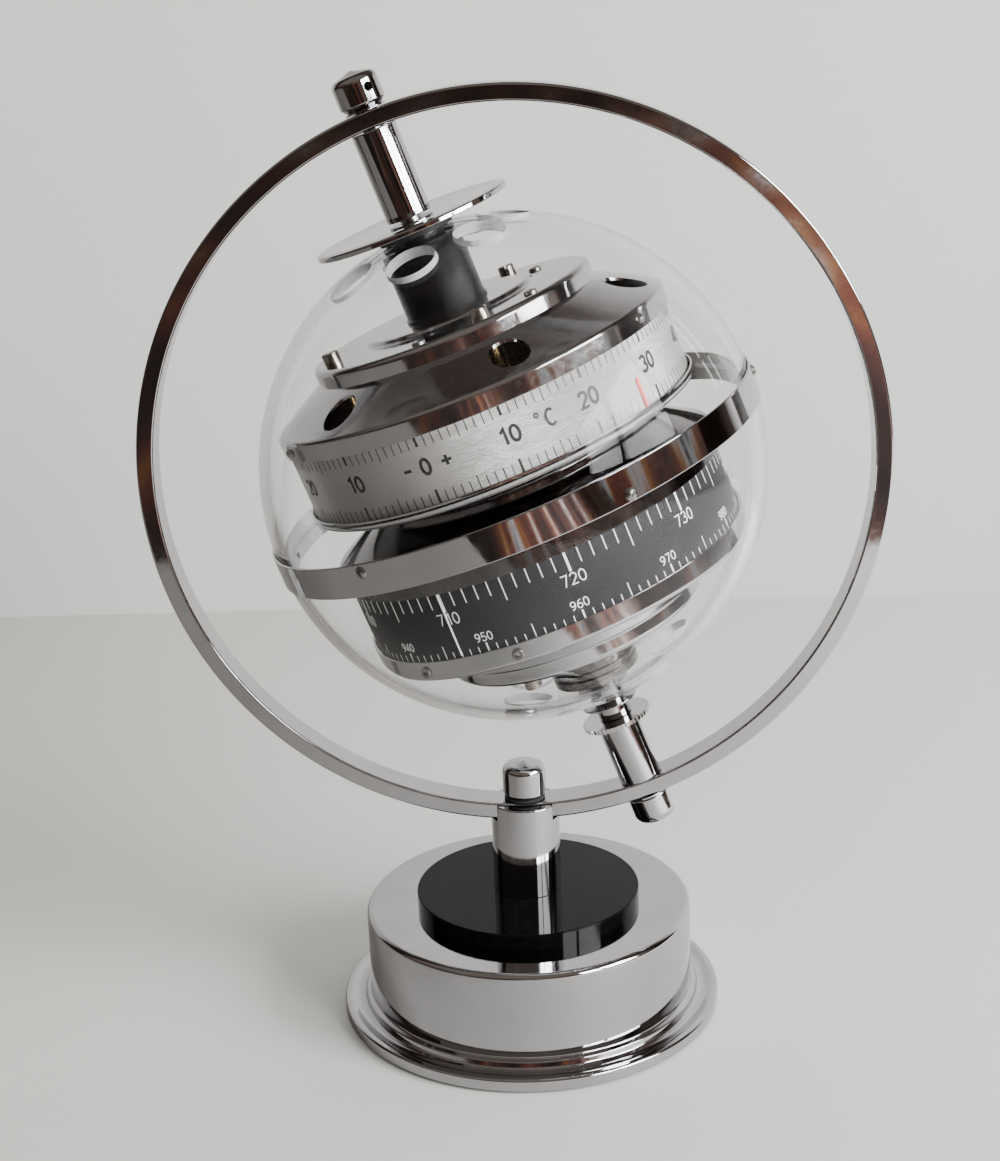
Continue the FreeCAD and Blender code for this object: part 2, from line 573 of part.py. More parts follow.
def globe_pieces():
    hemisphere("upper_hemisphere", 1, val("upper_vent_angle"))
    hemisphere("lower_hemisphere", -1, val("lower_vent_angle"))
    turned("equator_band", [
        ("band_inner", "0 - band_half"), ("band_outer", "0 - band_half"),
        ("band_outer", "band_half"), ("band_inner", "band_half")], "axle")
    screw = round_screw(val("band_screw_radius"), 0.9, 1.6)
    screws = []
    for number in range(int(val("band_screw_count"))):
        angle = val("band_screw_angle") + 360.0 * number / val("band_screw_count")
        level = val("band_screw_high") if number % 2 == 0 else val("band_screw_low")
        screws.append(stood(screw, polar(val("band_outer"), angle, level), polar(1, angle), 70))
    group("band_screws", screws)
    turned("pole_disc", [
        ("axle_clear", "pole_disc_bottom"),
        ("pole_disc_radius - 2 * pole_disc_lip_width", "pole_disc_bottom"),
        ("pole_disc_radius - pole_disc_lip_width", "pole_disc_lip"),
        ("pole_disc_radius", "pole_disc_lip"), ("pole_disc_radius", "pole_disc_bottom + 0.4"),
        ("pole_disc_radius - pole_disc_lip_width", "pole_disc_top"),
        ("axle_clear", "pole_disc_top")], "axle")
    turned("pole_washer", [
        ("pole_hole", "pole_flat + 0.02"), ("pole_washer_radius", "pole_flat + 0.02"),
        ("pole_washer_radius", "pole_washer_top"), ("pole_hole", "pole_washer_top")], "axle")
    turned("upper_neck", [
        ("neck_recess", "neck_bottom"), ("neck_lip", "neck_bottom"), ("neck_lip", "neck_lip_top"),
        ("neck_radius", "neck_lip_top"), ("neck_radius", "neck_top"), ("neck_spigot", "neck_top"),
        ("neck_spigot", "neck_spigot_top"), ("axle_bore", "neck_spigot_top"),
        ("axle_bore", "neck_recess_top"), ("neck_recess", "neck_recess_top")], "axle")
    bush = turned("lower_bush", [
        ("axle_bore", "0 - bush_spigot_end"), ("bush_spigot", "0 - bush_spigot_end"),
        ("bush_spigot", "0 - bush_far"), ("bush_radius", "0 - bush_far"),
        ("bush_radius", "0 - bush_near"), ("stem_radius", "0 - bush_near"),
        ("stem_radius", "0 - stem_near"), ("axle_bore", "0 - stem_near")], "axle")
    for number in range(2):
        level = "0 - bush_near - %s * bush_groove" % (2 + 2 * number)
        groove = new_sketch(bush, "bush_groove_outline", "XZ_Plane")
        outline(groove, [("bush_radius - bush_groove", level), ("bush_radius + 1", level),
                         ("bush_radius + 1", level + " + bush_groove"),
                         ("bush_radius - bush_groove", level + " + bush_groove")])
        cut = bush.newObject("PartDesign::Groove", "bush_groove_cut")
        cut.Profile = groove
        cut.ReferenceAxis = (groove, ["V_Axis"])
        cut.Angle = 360
        doc.recompute()
    turned("lower_neck", [
        ("axle_bore", "0 - lower_neck_end"), ("lower_neck_radius", "0 - lower_neck_end"),
        ("lower_neck_radius", "0 - neck_disc_far"), ("neck_disc_radius", "0 - neck_disc_far"),
        ("neck_disc_radius", "0 - neck_disc_near"), ("lower_neck_radius", "0 - neck_disc_near"),
        ("lower_neck_radius", "0 - bush_spigot_end - 0.02"),
        ("axle_bore", "0 - bush_spigot_end - 0.02")], "axle")


# ---------------------------------------------------------------- instrument covers

def cover_outline(start, side, outer, sheet, step, step_height, middle):
    """Half-section of a pressed cover: rim, cone, step and flat top, then back inside."""
    rim = "%s %s rim_height" % (start, side)
    cone = "%s %s cone_height" % (rim, side)
    top = "%s %s %s" % (cone, side, step_height)
    back = "-" if side == "+" else "+"
    under = "%s %s %s" % (top, back, sheet)
    inner_cone = "%s %s %s / 2" % (cone, back, sheet)
    inner_rim = "%s %s %s / 2" % (rim, back, sheet)
    outside = [(outer, start), (outer, rim), (step, cone), (step, top)]
    inside = [(step + " - " + sheet, under), (step + " - " + sheet, inner_cone),
              (outer + " - " + sheet, inner_rim), (outer + " - " + sheet, start)]
    return outside + middle(top, under) + inside


def blend_cover(body, start, side, outer, step, step_height):
    rim = start + side * val("rim_height")
    cone = rim + side * val("cone_height")
    round_edges(body, [(outer, rim)], "rim_edge")
    round_edges(body, [(step, cone + side * step_height)], "step_edge")


def thermometer_cover():
    def boss(top, under):
        return [("boss_foot", top), ("boss_radius", "boss_top"), ("neck_recess", "boss_top"),
                ("neck_recess", "boss_top - sheet"), ("boss_radius - sheet", "boss_top - sheet"),
                ("boss_foot - sheet", under)]

    body = turned("thermometer_cover", cover_outline(
        "thermo_rim", "+", "cover_radius", "sheet", "step_radius", "step_height", boss), "axle")
    blend_cover(body, val("thermo_rim"), 1, val("cover_radius"), val("step_radius"), val("step_height"))
    across = "cover_vent_circle * cos(cover_vent_angle)"
    along = "cover_vent_circle * sin(cover_vent_angle)"
    vent = drill(body, "cover_vent", "cover_vent_radius", across, along)
    repeat_round(body, vent, "cover_vent_count")


def barometer_cover():
    def middle(top, under):
        return [("centre_post_radius + 0.02", top), ("centre_post_radius + 0.02", under)]

    body = turned("barometer_cover", cover_outline(
        "baro_rim", "+", "baro_cover_radius", "baro_cover_sheet", "step_radius",
        "baro_step_height", middle), "axle")
    blend_cover(body, val("baro_rim"), 1, val("baro_cover_radius"), val("step_radius"),
                val("baro_step_height"))


def tray_underside():
    return (val("tray_rim_top") - val("rim_height") - val("cone_height")
            - val("tray_step_height"))


def barometer_tray():
    def middle(top, under):
        return [("stud_hole", top), ("stud_hole", under)]

    body = turned("barometer_tray", cover_outline(
        "tray_rim_top", "-", "tray_radius", "sheet", "tray_step_radius",
        "tray_step_height", middle), "axle")
    blend_cover(body, val("tray_rim_top"), -1, val("tray_radius"), val("tray_step_radius"),
                val("tray_step_height"))


# ---------------------------------------------------------------- thermometer

def pointer(label, hub_bore, angle, inner, strip, width, tip, arm_low):
    """Hub, radial arm and an upright blade that lies close to the drum."""
    arm_high = arm_low + val("arm_thick")
    half = val("arm_width") / 2
    hub = cylinder(val("pointer_hub_radius"), arm_low, arm_low + val("hub_height"))
    hub = hub.cut(cylinder(hub_bore, -99, 99))
    start = hub_bore + 1.0
    arm = Part.makeBox(inner + strip - start, 2 * half, arm_high - arm_low,
                       Vector(start, -half, arm_low))
    low, high = min(arm_low, tip), max(arm_high, tip)
    blade = Part.makeBox(strip, width, high - low, Vector(inner, -width / 2, low))
    shape = hub.fuse([arm, blade])
    shape.rotate(Vector(0, 0, 0), Vector(0, 0, 1), angle)
    solid_node(label, shape)


def unit_screws(upper):
    """The six equal cheese-head screws: three in the upper cover, three in the lower tray."""
    lower = [stood(cheese_screw(), polar(val("baro_pillar_circle"), angle, tray_underside()),
                   Vector(0, 0, -1)) for angle in TRAY_SCREW_ANGLES]
    group("unit_screws", upper + lower)


def floor_posts():
    """Posts that hang the floor from the plate, placed where the pointer's arm never goes."""
    posts = [cylinder(val("thermo_post_radius"), val("floor_plate_top"), val("thermo_plate_bottom"),
                      polar(val("thermo_post_circle"), angle)) for angle in (45, 90, 135)]
    group("floor_posts", posts)


def thermometer_pieces():
    thermometer_cover()
    turned("thermometer_drum", [
        ("thermo_drum_radius - drum_wall", "thermo_drum_bottom"),
        ("thermo_drum_radius", "thermo_drum_bottom"), ("thermo_drum_radius", "thermo_drum_top"),
        ("thermo_drum_radius - drum_wall", "thermo_drum_top")], "axle")
    floor = turned("thermometer_floor", [
        ("arbor_hole", "floor_bottom"), ("floor_radius", "floor_bottom"),
        ("floor_radius", "floor_rim_top"), ("floor_inner", "floor_rim_top"),
        ("floor_inner", "floor_plate_top"), ("arbor_hole", "floor_plate_top")], "axle")
    round_edges(floor, [(val("floor_radius"), val("floor_bottom"))], "rim_edge")
    turned("thermometer_plate", [
        ("arbor_hole", "thermo_plate_bottom"), ("thermo_plate_radius", "thermo_plate_bottom"),
        ("thermo_plate_radius", "thermo_plate_top"), ("arbor_hole", "thermo_plate_top")], "axle")
    under = val("thermo_rim") + val("rim_height") + val("cone_height") + val("step_height") - val("sheet")
    pillars = []
    screws = []
    for angle in COVER_SCREW_ANGLES:
        spot = polar(val("pillar_circle"), angle)
        pillars.append(cylinder(val("pillar_radius"), val("thermo_plate_top"), under, spot))
        screws.append(stood(cheese_screw(), spot + Vector(0, 0, under + val("sheet")), spin=angle + 30))
    group("thermometer_pillars", pillars)
    unit_screws(screws)
    floor_posts()
    eyelet = rivet(1.9, val("rivet_bore"), 0.8, 1.2)
    top = under + val("sheet")
    group("cover_rivets", [stood(eyelet, polar(circle, angle, top))
                           for angle, circle in COVER_RIVET_PLACES])
    rim = round_screw(val("rim_screw_radius"), val("rim_screw_height"), 0.6)
    group("rim_screws", [stood(rim, polar(val("cover_radius"), angle, val("rim_screw_level")),
                               polar(1, angle), 20) for angle in (-152, -32, 88)])
    turned("thermometer_arbor", [
        ("0", "thermo_arbor_bottom"), ("arbor_radius", "thermo_arbor_bottom"),
        ("arbor_radius", "coil_bottom - 0.5"), ("collet_radius", "coil_bottom - 0.5"),
        ("collet_radius", "coil_bottom + coil_height + 0.5"),
        ("arbor_radius", "coil_bottom + coil_height + 0.5"),
        ("arbor_radius", "thermo_arbor_top"), ("0", "thermo_arbor_top")], "axle")
    coil = spiral_strip(val("coil_inner"), val("coil_outer"), val("coil_turns"), val("coil_strip"),
                        val("coil_bottom"), val("coil_height"), 0)
    solid_node("bimetal_coil", coil)
    end = polar(val("coil_outer") + val("coil_strip") + val("stud_radius"), 360 * val("coil_turns"))
    solid_node("bimetal_stud", cylinder(val("stud_radius"), val("coil_bottom") - 1,
                                        val("thermo_plate_bottom"), end))
    pointer("thermometer_pointer", val("arbor_radius") + 0.02,
            val("thermo_pointer_angle"), val("thermo_pointer_inner"), val("pointer_strip"),
            val("thermo_pointer_width"), val("thermo_pointer_tip"), val("thermo_arm_bottom"))


# ---------------------------------------------------------------- barometer

def movement_pieces():
    reach = val("gear_module") * (val("pinion_teeth") + val("sector_teeth")) / 2
    shaft_spot = Vector(0, reach, 0)
    low, high = val("baro_plate_bottom"), val("baro_plate_top")
    shift, level, half = val("rocker_offset"), val("rocker_level"), val("rocker_half")
    stud_spot = polar(val("hair_outer") + val("hair_strip") + 0.8, 360 * val("hair_turns"))
    plate = cylinder(val("baro_plate_radius"), low, high)
    plate = plate.fuse(cylinder(0.8, high, val("hair_bottom") + 2, stud_spot))
    for inner in (half - 1.5, -half):
        plate = plate.fuse(Part.makeBox(1.5, 6, low - level + 3, Vector(inner, shift - 3, level - 3)))
    pivot = Vector(-20, shift, level)
    plate = plate.cut(Part.makeCylinder(val("rocker_hole"), 40, pivot, Vector(1, 0, 0)))
    plate = plate.cut(cylinder(val("sector_shaft_hole"), low - 1, high + 1, shaft_spot))
    plate = plate.cut(Part.makeBox(3.4, 8, 4, Vector(val("sector_tail") - 1.7, shift - 5, low - 1)))
    solid_node("movement_plate", plate)
    spots = [polar(val("baro_pillar_circle"), angle) for angle in TRAY_SCREW_ANGLES]
    floor = tray_underside() + val("sheet")
    group("movement_pillars", [cylinder(val("pillar_radius"), floor, low, spot) for spot in spots])
    bridge = Part.makeBox(2 * val("bridge_half"), val("bridge_outer") - val("bridge_inner"),
                          val("bridge_top") - val("bridge_bottom"),
                          Vector(-val("bridge_half"), val("bridge_inner"), val("bridge_bottom")))
    bridge = bridge.cut(cylinder(val("sector_shaft_hole"), val("bridge_bottom") - 1,
                                 val("bridge_top") + 1, shaft_spot))
    leg = cylinder(val("pillar_radius"), high, val("bridge_bottom"),
                   Vector(0, val("bridge_pillar_circle"), 0))
    solid_node("movement_bridge", bridge.fuse(leg))
    turned("centre_post", [
        ("0", "baro_plate_top"), ("post_shoulder_radius", "baro_plate_top"),
        ("post_shoulder_radius", "sleeve_arbor_bottom - 0.05"),
        ("centre_post_radius", "sleeve_arbor_bottom - 0.05"),
        ("centre_post_radius", "centre_post_top + 1"), ("0", "centre_post_top + 1")], "axle")
    cap = turned("post_nut", [
        ("centre_post_radius + 0.02", "centre_post_top"), ("post_nut_radius", "centre_post_top"),
        ("post_nut_radius", "post_nut_top"), ("centre_post_radius + 0.02", "post_nut_top")], "axle")
    round_edges(cap, [(val("post_nut_radius"), val("post_nut_top"))], "screw_shank / 3")
    spring = spiral_strip(val("hair_inner"), val("hair_outer"), val("hair_turns"), val("hair_strip"),
                          val("hair_bottom"), val("hair_height"), 0)
    solid_node("hairspring", spring)


def gear_pieces():
    module = val("gear_module")
    pinion_teeth = int(val("pinion_teeth"))
    sector_teeth = int(val("sector_teeth"))
    reach = module * (pinion_teeth + sector_teeth) / 2
    turned("arbor_sleeve", [
        ("sleeve_arbor_bore", "sleeve_arbor_bottom"), ("sleeve_arbor_radius", "sleeve_arbor_bottom"),
        ("sleeve_arbor_radius", "collet_bottom"), ("hair_collet", "collet_bottom"),
        ("hair_collet", "collet_top"), ("sleeve_arbor_radius", "collet_top"),
        ("sleeve_arbor_radius", "sleeve_arbor_top"), ("sleeve_arbor_bore", "sleeve_arbor_top")], "axle")
    # a gap of the pinion faces the sector's shaft, where one sector tooth stands
    pinion = plate_from(gear_outline(pinion_teeth, module, 0, pinion_teeth - 1,
                                     math.pi / 2 + math.pi / pinion_teeth, 0.05),
                        val("pinion_bottom"), val("pinion_top"))
    pinion = pinion.cut(cylinder(val("sleeve_arbor_radius") + 0.02, -99, 99))
    solid_node("pinion", pinion)
    first, last = int(val("sector_first")), int(val("sector_last"))
    rim = gear_outline(sector_teeth, module, first, last, -math.pi / 2, 0.05)
    pitch = module * sector_teeth / 2
    start = -90 + 360.0 * (first - 0.3) / sector_teeth
    end = -90 + 360.0 * (last + 0.3) / sector_teeth
    middle = (start + end) / 2
    hub_side = [polar(4, middle + turn) for turn in (90, 150, 210, 270)]
    blank = plate_from(rim + [polar(pitch - 3, end)] + hub_side + [polar(pitch - 3, start)],
                       0, val("sector_top") - val("sector_bottom"))
    tail = Part.makeBox(val("sector_tail") + 1.2, 2, 1.2, Vector(0, -1, 0))
    tail.translate(Vector(0, 0, val("link_level") - 0.2 - val("sector_bottom")))
    shaft = cylinder(val("sector_shaft_radius"), val("baro_plate_bottom") - val("sector_bottom"),
                     val("sector_shaft_top") - val("sector_bottom"))
    window = plate_from([polar(pitch - 6, middle + 14), polar(pitch - 6, middle - 14),
                         polar(9, middle - 8), polar(9, middle + 8)], -5, 5)
    blank = blank.cut(window).cut(cylinder(val("sector_shaft_radius"), -5, 5))
    place = Vector(0, reach, val("sector_bottom"))
    blank.translate(place)
    tail = tail.fuse(shaft)
    tail.translate(place)
    solid_node("sector_gear", blank)
    solid_node("sector_shaft", tail)
    pointer("barometer_pointer", val("sleeve_arbor_radius") + 0.02,
            val("baro_pointer_angle"), val("baro_pointer_inner"), val("baro_pointer_strip"),
            val("baro_pointer_width"), val("baro_pointer_tip"), val("baro_arm_bottom"))


def capsule_pieces():
    turned("capsule_cup", [
        ("0", "capsule_stud_end"), ("capsule_stud_radius", "capsule_stud_end"),
        ("capsule_stud_radius", "capsule_bottom"), ("capsule_radius", "capsule_bottom"),
        ("capsule_radius", "capsule_top"), ("capsule_radius - capsule_wall", "capsule_top"),
        ("capsule_radius - capsule_wall", "capsule_bottom + capsule_wall"),
        ("0", "capsule_bottom + capsule_wall")], "axle")
    ripples = 4
    upper = []
    lower = []
    for number in range(2 * ripples + 1):
        across = "diaphragm_radius * %d / %d" % (number + 1, 2 * ripples + 1)
        level = "diaphragm_level" + (" + ripple_height" if number % 2 else "")
        lower.append((across, level))
        upper.insert(0, (across, level + " + diaphragm_thick"))
    turned("capsule_diaphragm", [("0", "diaphragm_level")] + lower + upper
           + [("lift_pin_radius", "diaphragm_level + diaphragm_thick"),
              ("lift_pin_radius", "lift_pin_top"), ("0", "lift_pin_top")], "axle")
    shift, level = val("rocker_offset"), val("rocker_level")
    rod = Part.makeCylinder(val("rocker_radius"), 2 * val("rocker_half"),
                            Vector(-val("rocker_half"), shift, level), Vector(1, 0, 0))
    finger = Part.makeBox(1.6, shift + 1.5, 1.2, Vector(-0.8, -1.5, level - 0.6))
    riser = Part.makeBox(1.2, 1.6, val("rocker_arm_top") - level,
                         Vector(val("sector_tail") - 0.6, shift - 0.8, level))
    solid_node("rocking_lever", rod.fuse([finger, riser]))
    reach = val("gear_module") * (val("pinion_teeth") + val("sector_teeth")) / 2
    start = Vector(val("sector_tail"), shift - 0.4, val("link_level") + 1.45)
    link = Part.makeCylinder(val("link_radius"), reach - shift + 0.9, start, Vector(0, 1, 0))
    solid_node("link_wire", link)


def barometer_pieces():
    barometer_cover()
    barometer_tray()
    turned("barometer_drum", [
        ("baro_drum_radius - drum_wall", "baro_drum_bottom"), ("baro_drum_radius", "baro_drum_bottom"),
        ("baro_drum_radius", "baro_drum_top"), ("baro_drum_radius - drum_wall", "baro_drum_top")],
        "axle")
    eyelet = rivet(val("rivet_radius"), val("rivet_bore"), val("rivet_height"), 0.7)
    group("tray_rivets", [stood(eyelet, polar(val("tray_radius"), -131.3 + 30.0 * number, val("rivet_level")),
                                polar(1, -131.3 + 30.0 * number)) for number in (0, 1, 6, 7)])
    movement_pieces()
    gear_pieces()
    capsule_pieces()


base_pieces()
ring_seat_pieces()
ring_piece()
axle_pieces()
globe_pieces()
thermometer_pieces()
barometer_pieces()
doc.recompute()

for item in doc.Objects:
    if "Invalid" in item.State or "Error" in item.State:
        raise RuntimeError("%s failed: %s" % (item.Label, item.State))
os.makedirs("parts", exist_ok=True)
for node in nodes:
    shape = node.Shape
    if shape.isNull() or not shape.isValid() or not shape.Solids:
        raise RuntimeError("%s has no valid solid" % node.Label)
    shape.exportStep("parts/%s.step" % node.Label)
    box = shape.BoundBox
    print("%-20s %3d solid(s) %10.1f mm3  z %.1f to %.1f"
          % (node.Label, len(shape.Solids), shape.Volume, box.ZMin, box.ZMax))
print(len(nodes), "nodes")
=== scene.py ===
import json
import math

import bmesh
import bpy
import numpy as np
from mathutils import Matrix, Vector


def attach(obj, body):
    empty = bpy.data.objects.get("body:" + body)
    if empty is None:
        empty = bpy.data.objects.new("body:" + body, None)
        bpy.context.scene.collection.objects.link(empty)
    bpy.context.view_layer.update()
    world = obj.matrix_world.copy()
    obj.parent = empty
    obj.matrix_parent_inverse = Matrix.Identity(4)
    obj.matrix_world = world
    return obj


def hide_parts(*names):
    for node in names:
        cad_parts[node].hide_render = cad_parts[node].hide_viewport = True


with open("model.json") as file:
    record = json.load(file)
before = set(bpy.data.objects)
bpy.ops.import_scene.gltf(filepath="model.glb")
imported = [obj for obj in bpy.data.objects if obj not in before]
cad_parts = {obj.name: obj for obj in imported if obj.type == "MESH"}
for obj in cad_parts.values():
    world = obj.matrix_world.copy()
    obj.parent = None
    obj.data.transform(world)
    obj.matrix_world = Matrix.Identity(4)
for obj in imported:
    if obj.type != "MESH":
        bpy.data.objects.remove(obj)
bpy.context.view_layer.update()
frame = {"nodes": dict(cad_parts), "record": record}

# Profiles are in millimetres: (radius, height along the turning axis, corner radius).
# On the tilted axle the height is measured from the globe's centre.
MM = 0.001
SPIN = next(joint for joint in frame["record"]["behaviour"]["joints"] if joint["name"] == "globe_spin")
CENTRE = Vector(SPIN["pos_m"])
TILT = math.atan2(SPIN["axis"][0], SPIN["axis"][2])
UPRIGHT = Matrix.Diagonal((MM, MM, MM, 1))
AXLE = Matrix.Translation(CENTRE) @ Matrix.Rotation(TILT, 4, "Y") @ UPRIGHT
RING = Matrix.Translation(CENTRE) @ Matrix.Rotation(math.radians(90), 4, "X") @ UPRIGHT

ROD_BORE = 3.05
SLEEVE_BORE = 3.3
GLOBE_OUTER = 74.0
GLOBE_INNER = 71.0
GLOBE_MOUTH = 8.0
VENT_RADIUS = 7.45
VENT_CIRCLE = 25.0
CELSIUS_DRUM = 58.1
PRESSURE_DRUM = 57.6

# Tolerances of the turned shapes, in millimetres.
SAME_PLACE = 1e-6
ON_PROFILE = 0.35
ON_HOLE_WALL = 0.08
FAR_AWAY = 1e9


# ---------------------------------------------------------------- turned shapes

def arc(centre_r, centre_s, radius, start, end):
    """A large arc in a profile, angles in degrees from the outward direction."""
    return ("arc", centre_r, centre_s, radius, start, end)


def profile_points(profile, fine):
    """Points of a closed outline with the corners rounded. Each point also carries the number
    of the arc it belongs to and that arc's centre, or -1 and None on a straight run."""
    points = []
    marks = []
    count = len(profile)

    def place(item, at_start):
        if item[0] != "arc":
            return np.array(item[:2], float)
        turn = math.radians(item[4] if at_start else item[5])
        return np.array([item[1] + item[3] * math.cos(turn), item[2] + item[3] * math.sin(turn)])

    for index, item in enumerate(profile):
        if item[0] == "arc":
            centre = np.array(item[1:3], float)
            steps = max(4, int(abs(item[5] - item[4]) / fine))
            for step in range(steps + 1):
                turn = math.radians(item[4] + (item[5] - item[4]) * step / steps)
                points.append(centre + item[3] * np.array([math.cos(turn), math.sin(turn)]))
                marks.append((index, centre))
            continue
        here = place(item, True)
        size = item[2] if len(item) > 2 else 0
        if not size:
            points.append(here)
            marks.append((-1, None))
            continue
        back = place(profile[index - 1], False) - here
        ahead = place(profile[(index + 1) % count], True) - here
        back /= np.linalg.norm(back)
        ahead /= np.linalg.norm(ahead)
        half = math.acos(max(-1, min(1, float(back @ ahead)))) / 2
        reach = size / math.tan(half)
        middle = back + ahead
        centre = here + middle / np.linalg.norm(middle) * size / math.sin(half)
        first = here + back * reach - centre
        last = here + ahead * reach - centre
        begin = math.atan2(first[1], first[0])
        sweep = (math.atan2(last[1], last[0]) - begin + math.pi) % (2 * math.pi) - math.pi
        steps = max(3, int(math.degrees(abs(sweep)) / 9))
        for step in range(steps + 1):
            turn = begin + sweep * step / steps
            points.append(centre + size * np.array([math.cos(turn), math.sin(turn)]))
            marks.append((index, centre))
    return points, marks


def profile_edges(profile, fine=2.0):
    """Runs of the outline as (start, end, normal at start, normal at end), outward normals."""
    points, marks = profile_points(profile, fine)
    area = sum(points[k - 1][0] * points[k][1] - points[k][0] * points[k - 1][1]
               for k in range(len(points)))
    if area < 0:
        points.reverse()
        marks.reverse()
    edges = []
    for index, start in enumerate(points):
        following = (index + 1) % len(points)
        end = points[following]
        run = end - start
        length = np.linalg.norm(run)
        if length < SAME_PLACE:
            continue
        flat = np.array([run[1], -run[0]]) / length
        normals = [flat, flat]
        if marks[index][0] >= 0 and marks[index][0] == marks[following][0]:
            for side, place in enumerate((start, end)):
                radial = (place - marks[index][1]) / np.linalg.norm(place - marks[index][1])
                normals[side] = radial if radial @ flat > 0 else -radial
        edges.append((start, end, normals[0], normals[1]))
    return edges


def lathe_mesh(name, edges, segments):
    """A closed mesh turned about Z."""
    vertices = []
    rings = []
    for start, _, _, _ in edges:
        first = len(vertices)
        if start[0] < 1e-5:
            vertices.append((0.0, 0.0, start[1]))
            rings.append([first] * segments)
            continue
        for step in range(segments):
            turn = 2 * math.pi * step / segments
            vertices.append((start[0] * math.cos(turn), start[0] * math.sin(turn), start[1]))
        rings.append(list(range(first, first + segments)))
    faces = []
    for index, low in enumerate(rings):
        high = rings[(index + 1) % len(rings)]
        if low[0] == low[1] and high[0] == high[1]:
            continue
        for step in range(segments):
            beside = (step + 1) % segments
            corners = [low[step], low[beside], high[beside], high[step]]
            corners = list(dict.fromkeys(corners))
            faces.append(corners)
    mesh = bpy.data.meshes.new(name)
    mesh.from_pydata(vertices, [], faces)
    return mesh


def shade_turned(mesh, edges, holes=()):
    """Exact normals for the turned faces and for round holes cut through them."""
    count = len(mesh.polygons)
    centres = np.zeros(count * 3)
    normals = np.zeros(count * 3)
    mesh.polygons.foreach_get("center", centres)
    mesh.polygons.foreach_get("normal", normals)
    centres = centres.reshape(-1, 3)
    normals = normals.reshape(-1, 3)
    co = np.zeros(len(mesh.vertices) * 3)
    mesh.vertices.foreach_get("co", co)
    co = co.reshape(-1, 3)
    loop_vertex = np.zeros(len(mesh.loops), int)
    mesh.loops.foreach_get("vertex_index", loop_vertex)
    starts = np.array([edge[0] for edge in edges])
    ends = np.array([edge[1] for edge in edges])
    first = np.array([edge[2] for edge in edges])
    last = np.array([edge[3] for edge in edges])
    runs = ends - starts
    lengths = (runs ** 2).sum(1)
    flat = np.stack([np.hypot(centres[:, 0], centres[:, 1]), centres[:, 2]], 1)
    around = centres[:, :2] / np.maximum(flat[:, :1], 1e-9)
    facing = np.stack([(normals[:, :2] * around).sum(1), normals[:, 2]], 1)
    best = np.full(count, FAR_AWAY)
    chosen = np.full(count, -1)
    for index in range(len(edges)):
        share = np.clip(((flat - starts[index]) @ runs[index]) / lengths[index], 0, 1)
        gap = np.linalg.norm(flat - starts[index] - share[:, None] * runs[index], axis=1)
        middle = first[index] + last[index]
        agree = facing @ (middle / np.linalg.norm(middle))
        gap = np.where(agree > 0.9, gap, FAR_AWAY)
        closer = gap < best
        best[closer] = gap[closer]
        chosen[closer] = index
    totals = np.zeros(count, int)
    mesh.polygons.foreach_get("loop_total", totals)
    owner = np.repeat(np.arange(count), totals)
    places = co[loop_vertex]
    radius = np.hypot(places[:, 0], places[:, 1])
    spots = np.stack([radius, places[:, 2]], 1)
    run = chosen[owner]
    share = ((spots - starts[run]) * runs[run]).sum(1) / lengths[run]
    share = np.clip(share, 0, 1)[:, None]
    normal = first[run] * (1 - share) + last[run] * share
    unit = np.where(radius[:, None] > SAME_PLACE, places[:, :2] / np.maximum(radius[:, None], 1e-9),
                    around[owner])
    smooth = np.concatenate([unit * normal[:, :1], normal[:, 1:]], 1)
    on_profile = ((chosen >= 0) & (best < ON_PROFILE))[owner]
    result = np.where(on_profile[:, None], smooth, normals[owner])
    for origin, direction, size in holes:
        offset = places - origin
        offset = offset - np.outer(offset @ direction, direction)
        distance = np.linalg.norm(offset, axis=1)
        off = np.zeros(count)
        np.maximum.at(off, owner, np.abs(distance - size))
        inside = (off[owner] < ON_HOLE_WALL) & ~on_profile
        result[inside] = -offset[inside] / distance[inside, None]
    result /= np.maximum(np.linalg.norm(result, axis=1), 1e-9)[:, None]
    mesh.polygons.foreach_set("use_smooth", np.ones(count, bool))
    mesh.normals_split_custom_set(result.tolist())


def cylinder_mesh(origin, direction, radius, low, high, segments=64):
    """A cutter along a line."""
    across = Vector(direction).orthogonal().normalized()
    beside = Vector(direction).cross(across)
    vertices = []
    for level in (low, high):
        for step in range(segments):
            turn = 2 * math.pi * step / segments
            side = across * math.cos(turn) + beside * math.sin(turn)
            vertices.append(Vector(origin) + Vector(direction) * level + side * radius)
    faces = [[step, (step + 1) % segments, segments + (step + 1) % segments, segments + step]
             for step in range(segments)]
    faces.append(list(range(segments - 1, -1, -1)))
    faces.append(list(range(segments, 2 * segments)))
    mesh = bpy.data.meshes.new("cutter")
    mesh.from_pydata([tuple(place) for place in vertices], [], faces)
    return mesh


def box_mesh(low, high):
    """A cutter between two corners."""
    mesh = bpy.data.meshes.new("cutter")
    shape = bmesh.new()
    bmesh.ops.create_cube(shape, size=1)
    for vertex in shape.verts:
        for axis in range(3):
            vertex.co[axis] = low[axis] if vertex.co[axis] < 0 else high[axis]
    shape.to_mesh(mesh)
    shape.free()
    return mesh


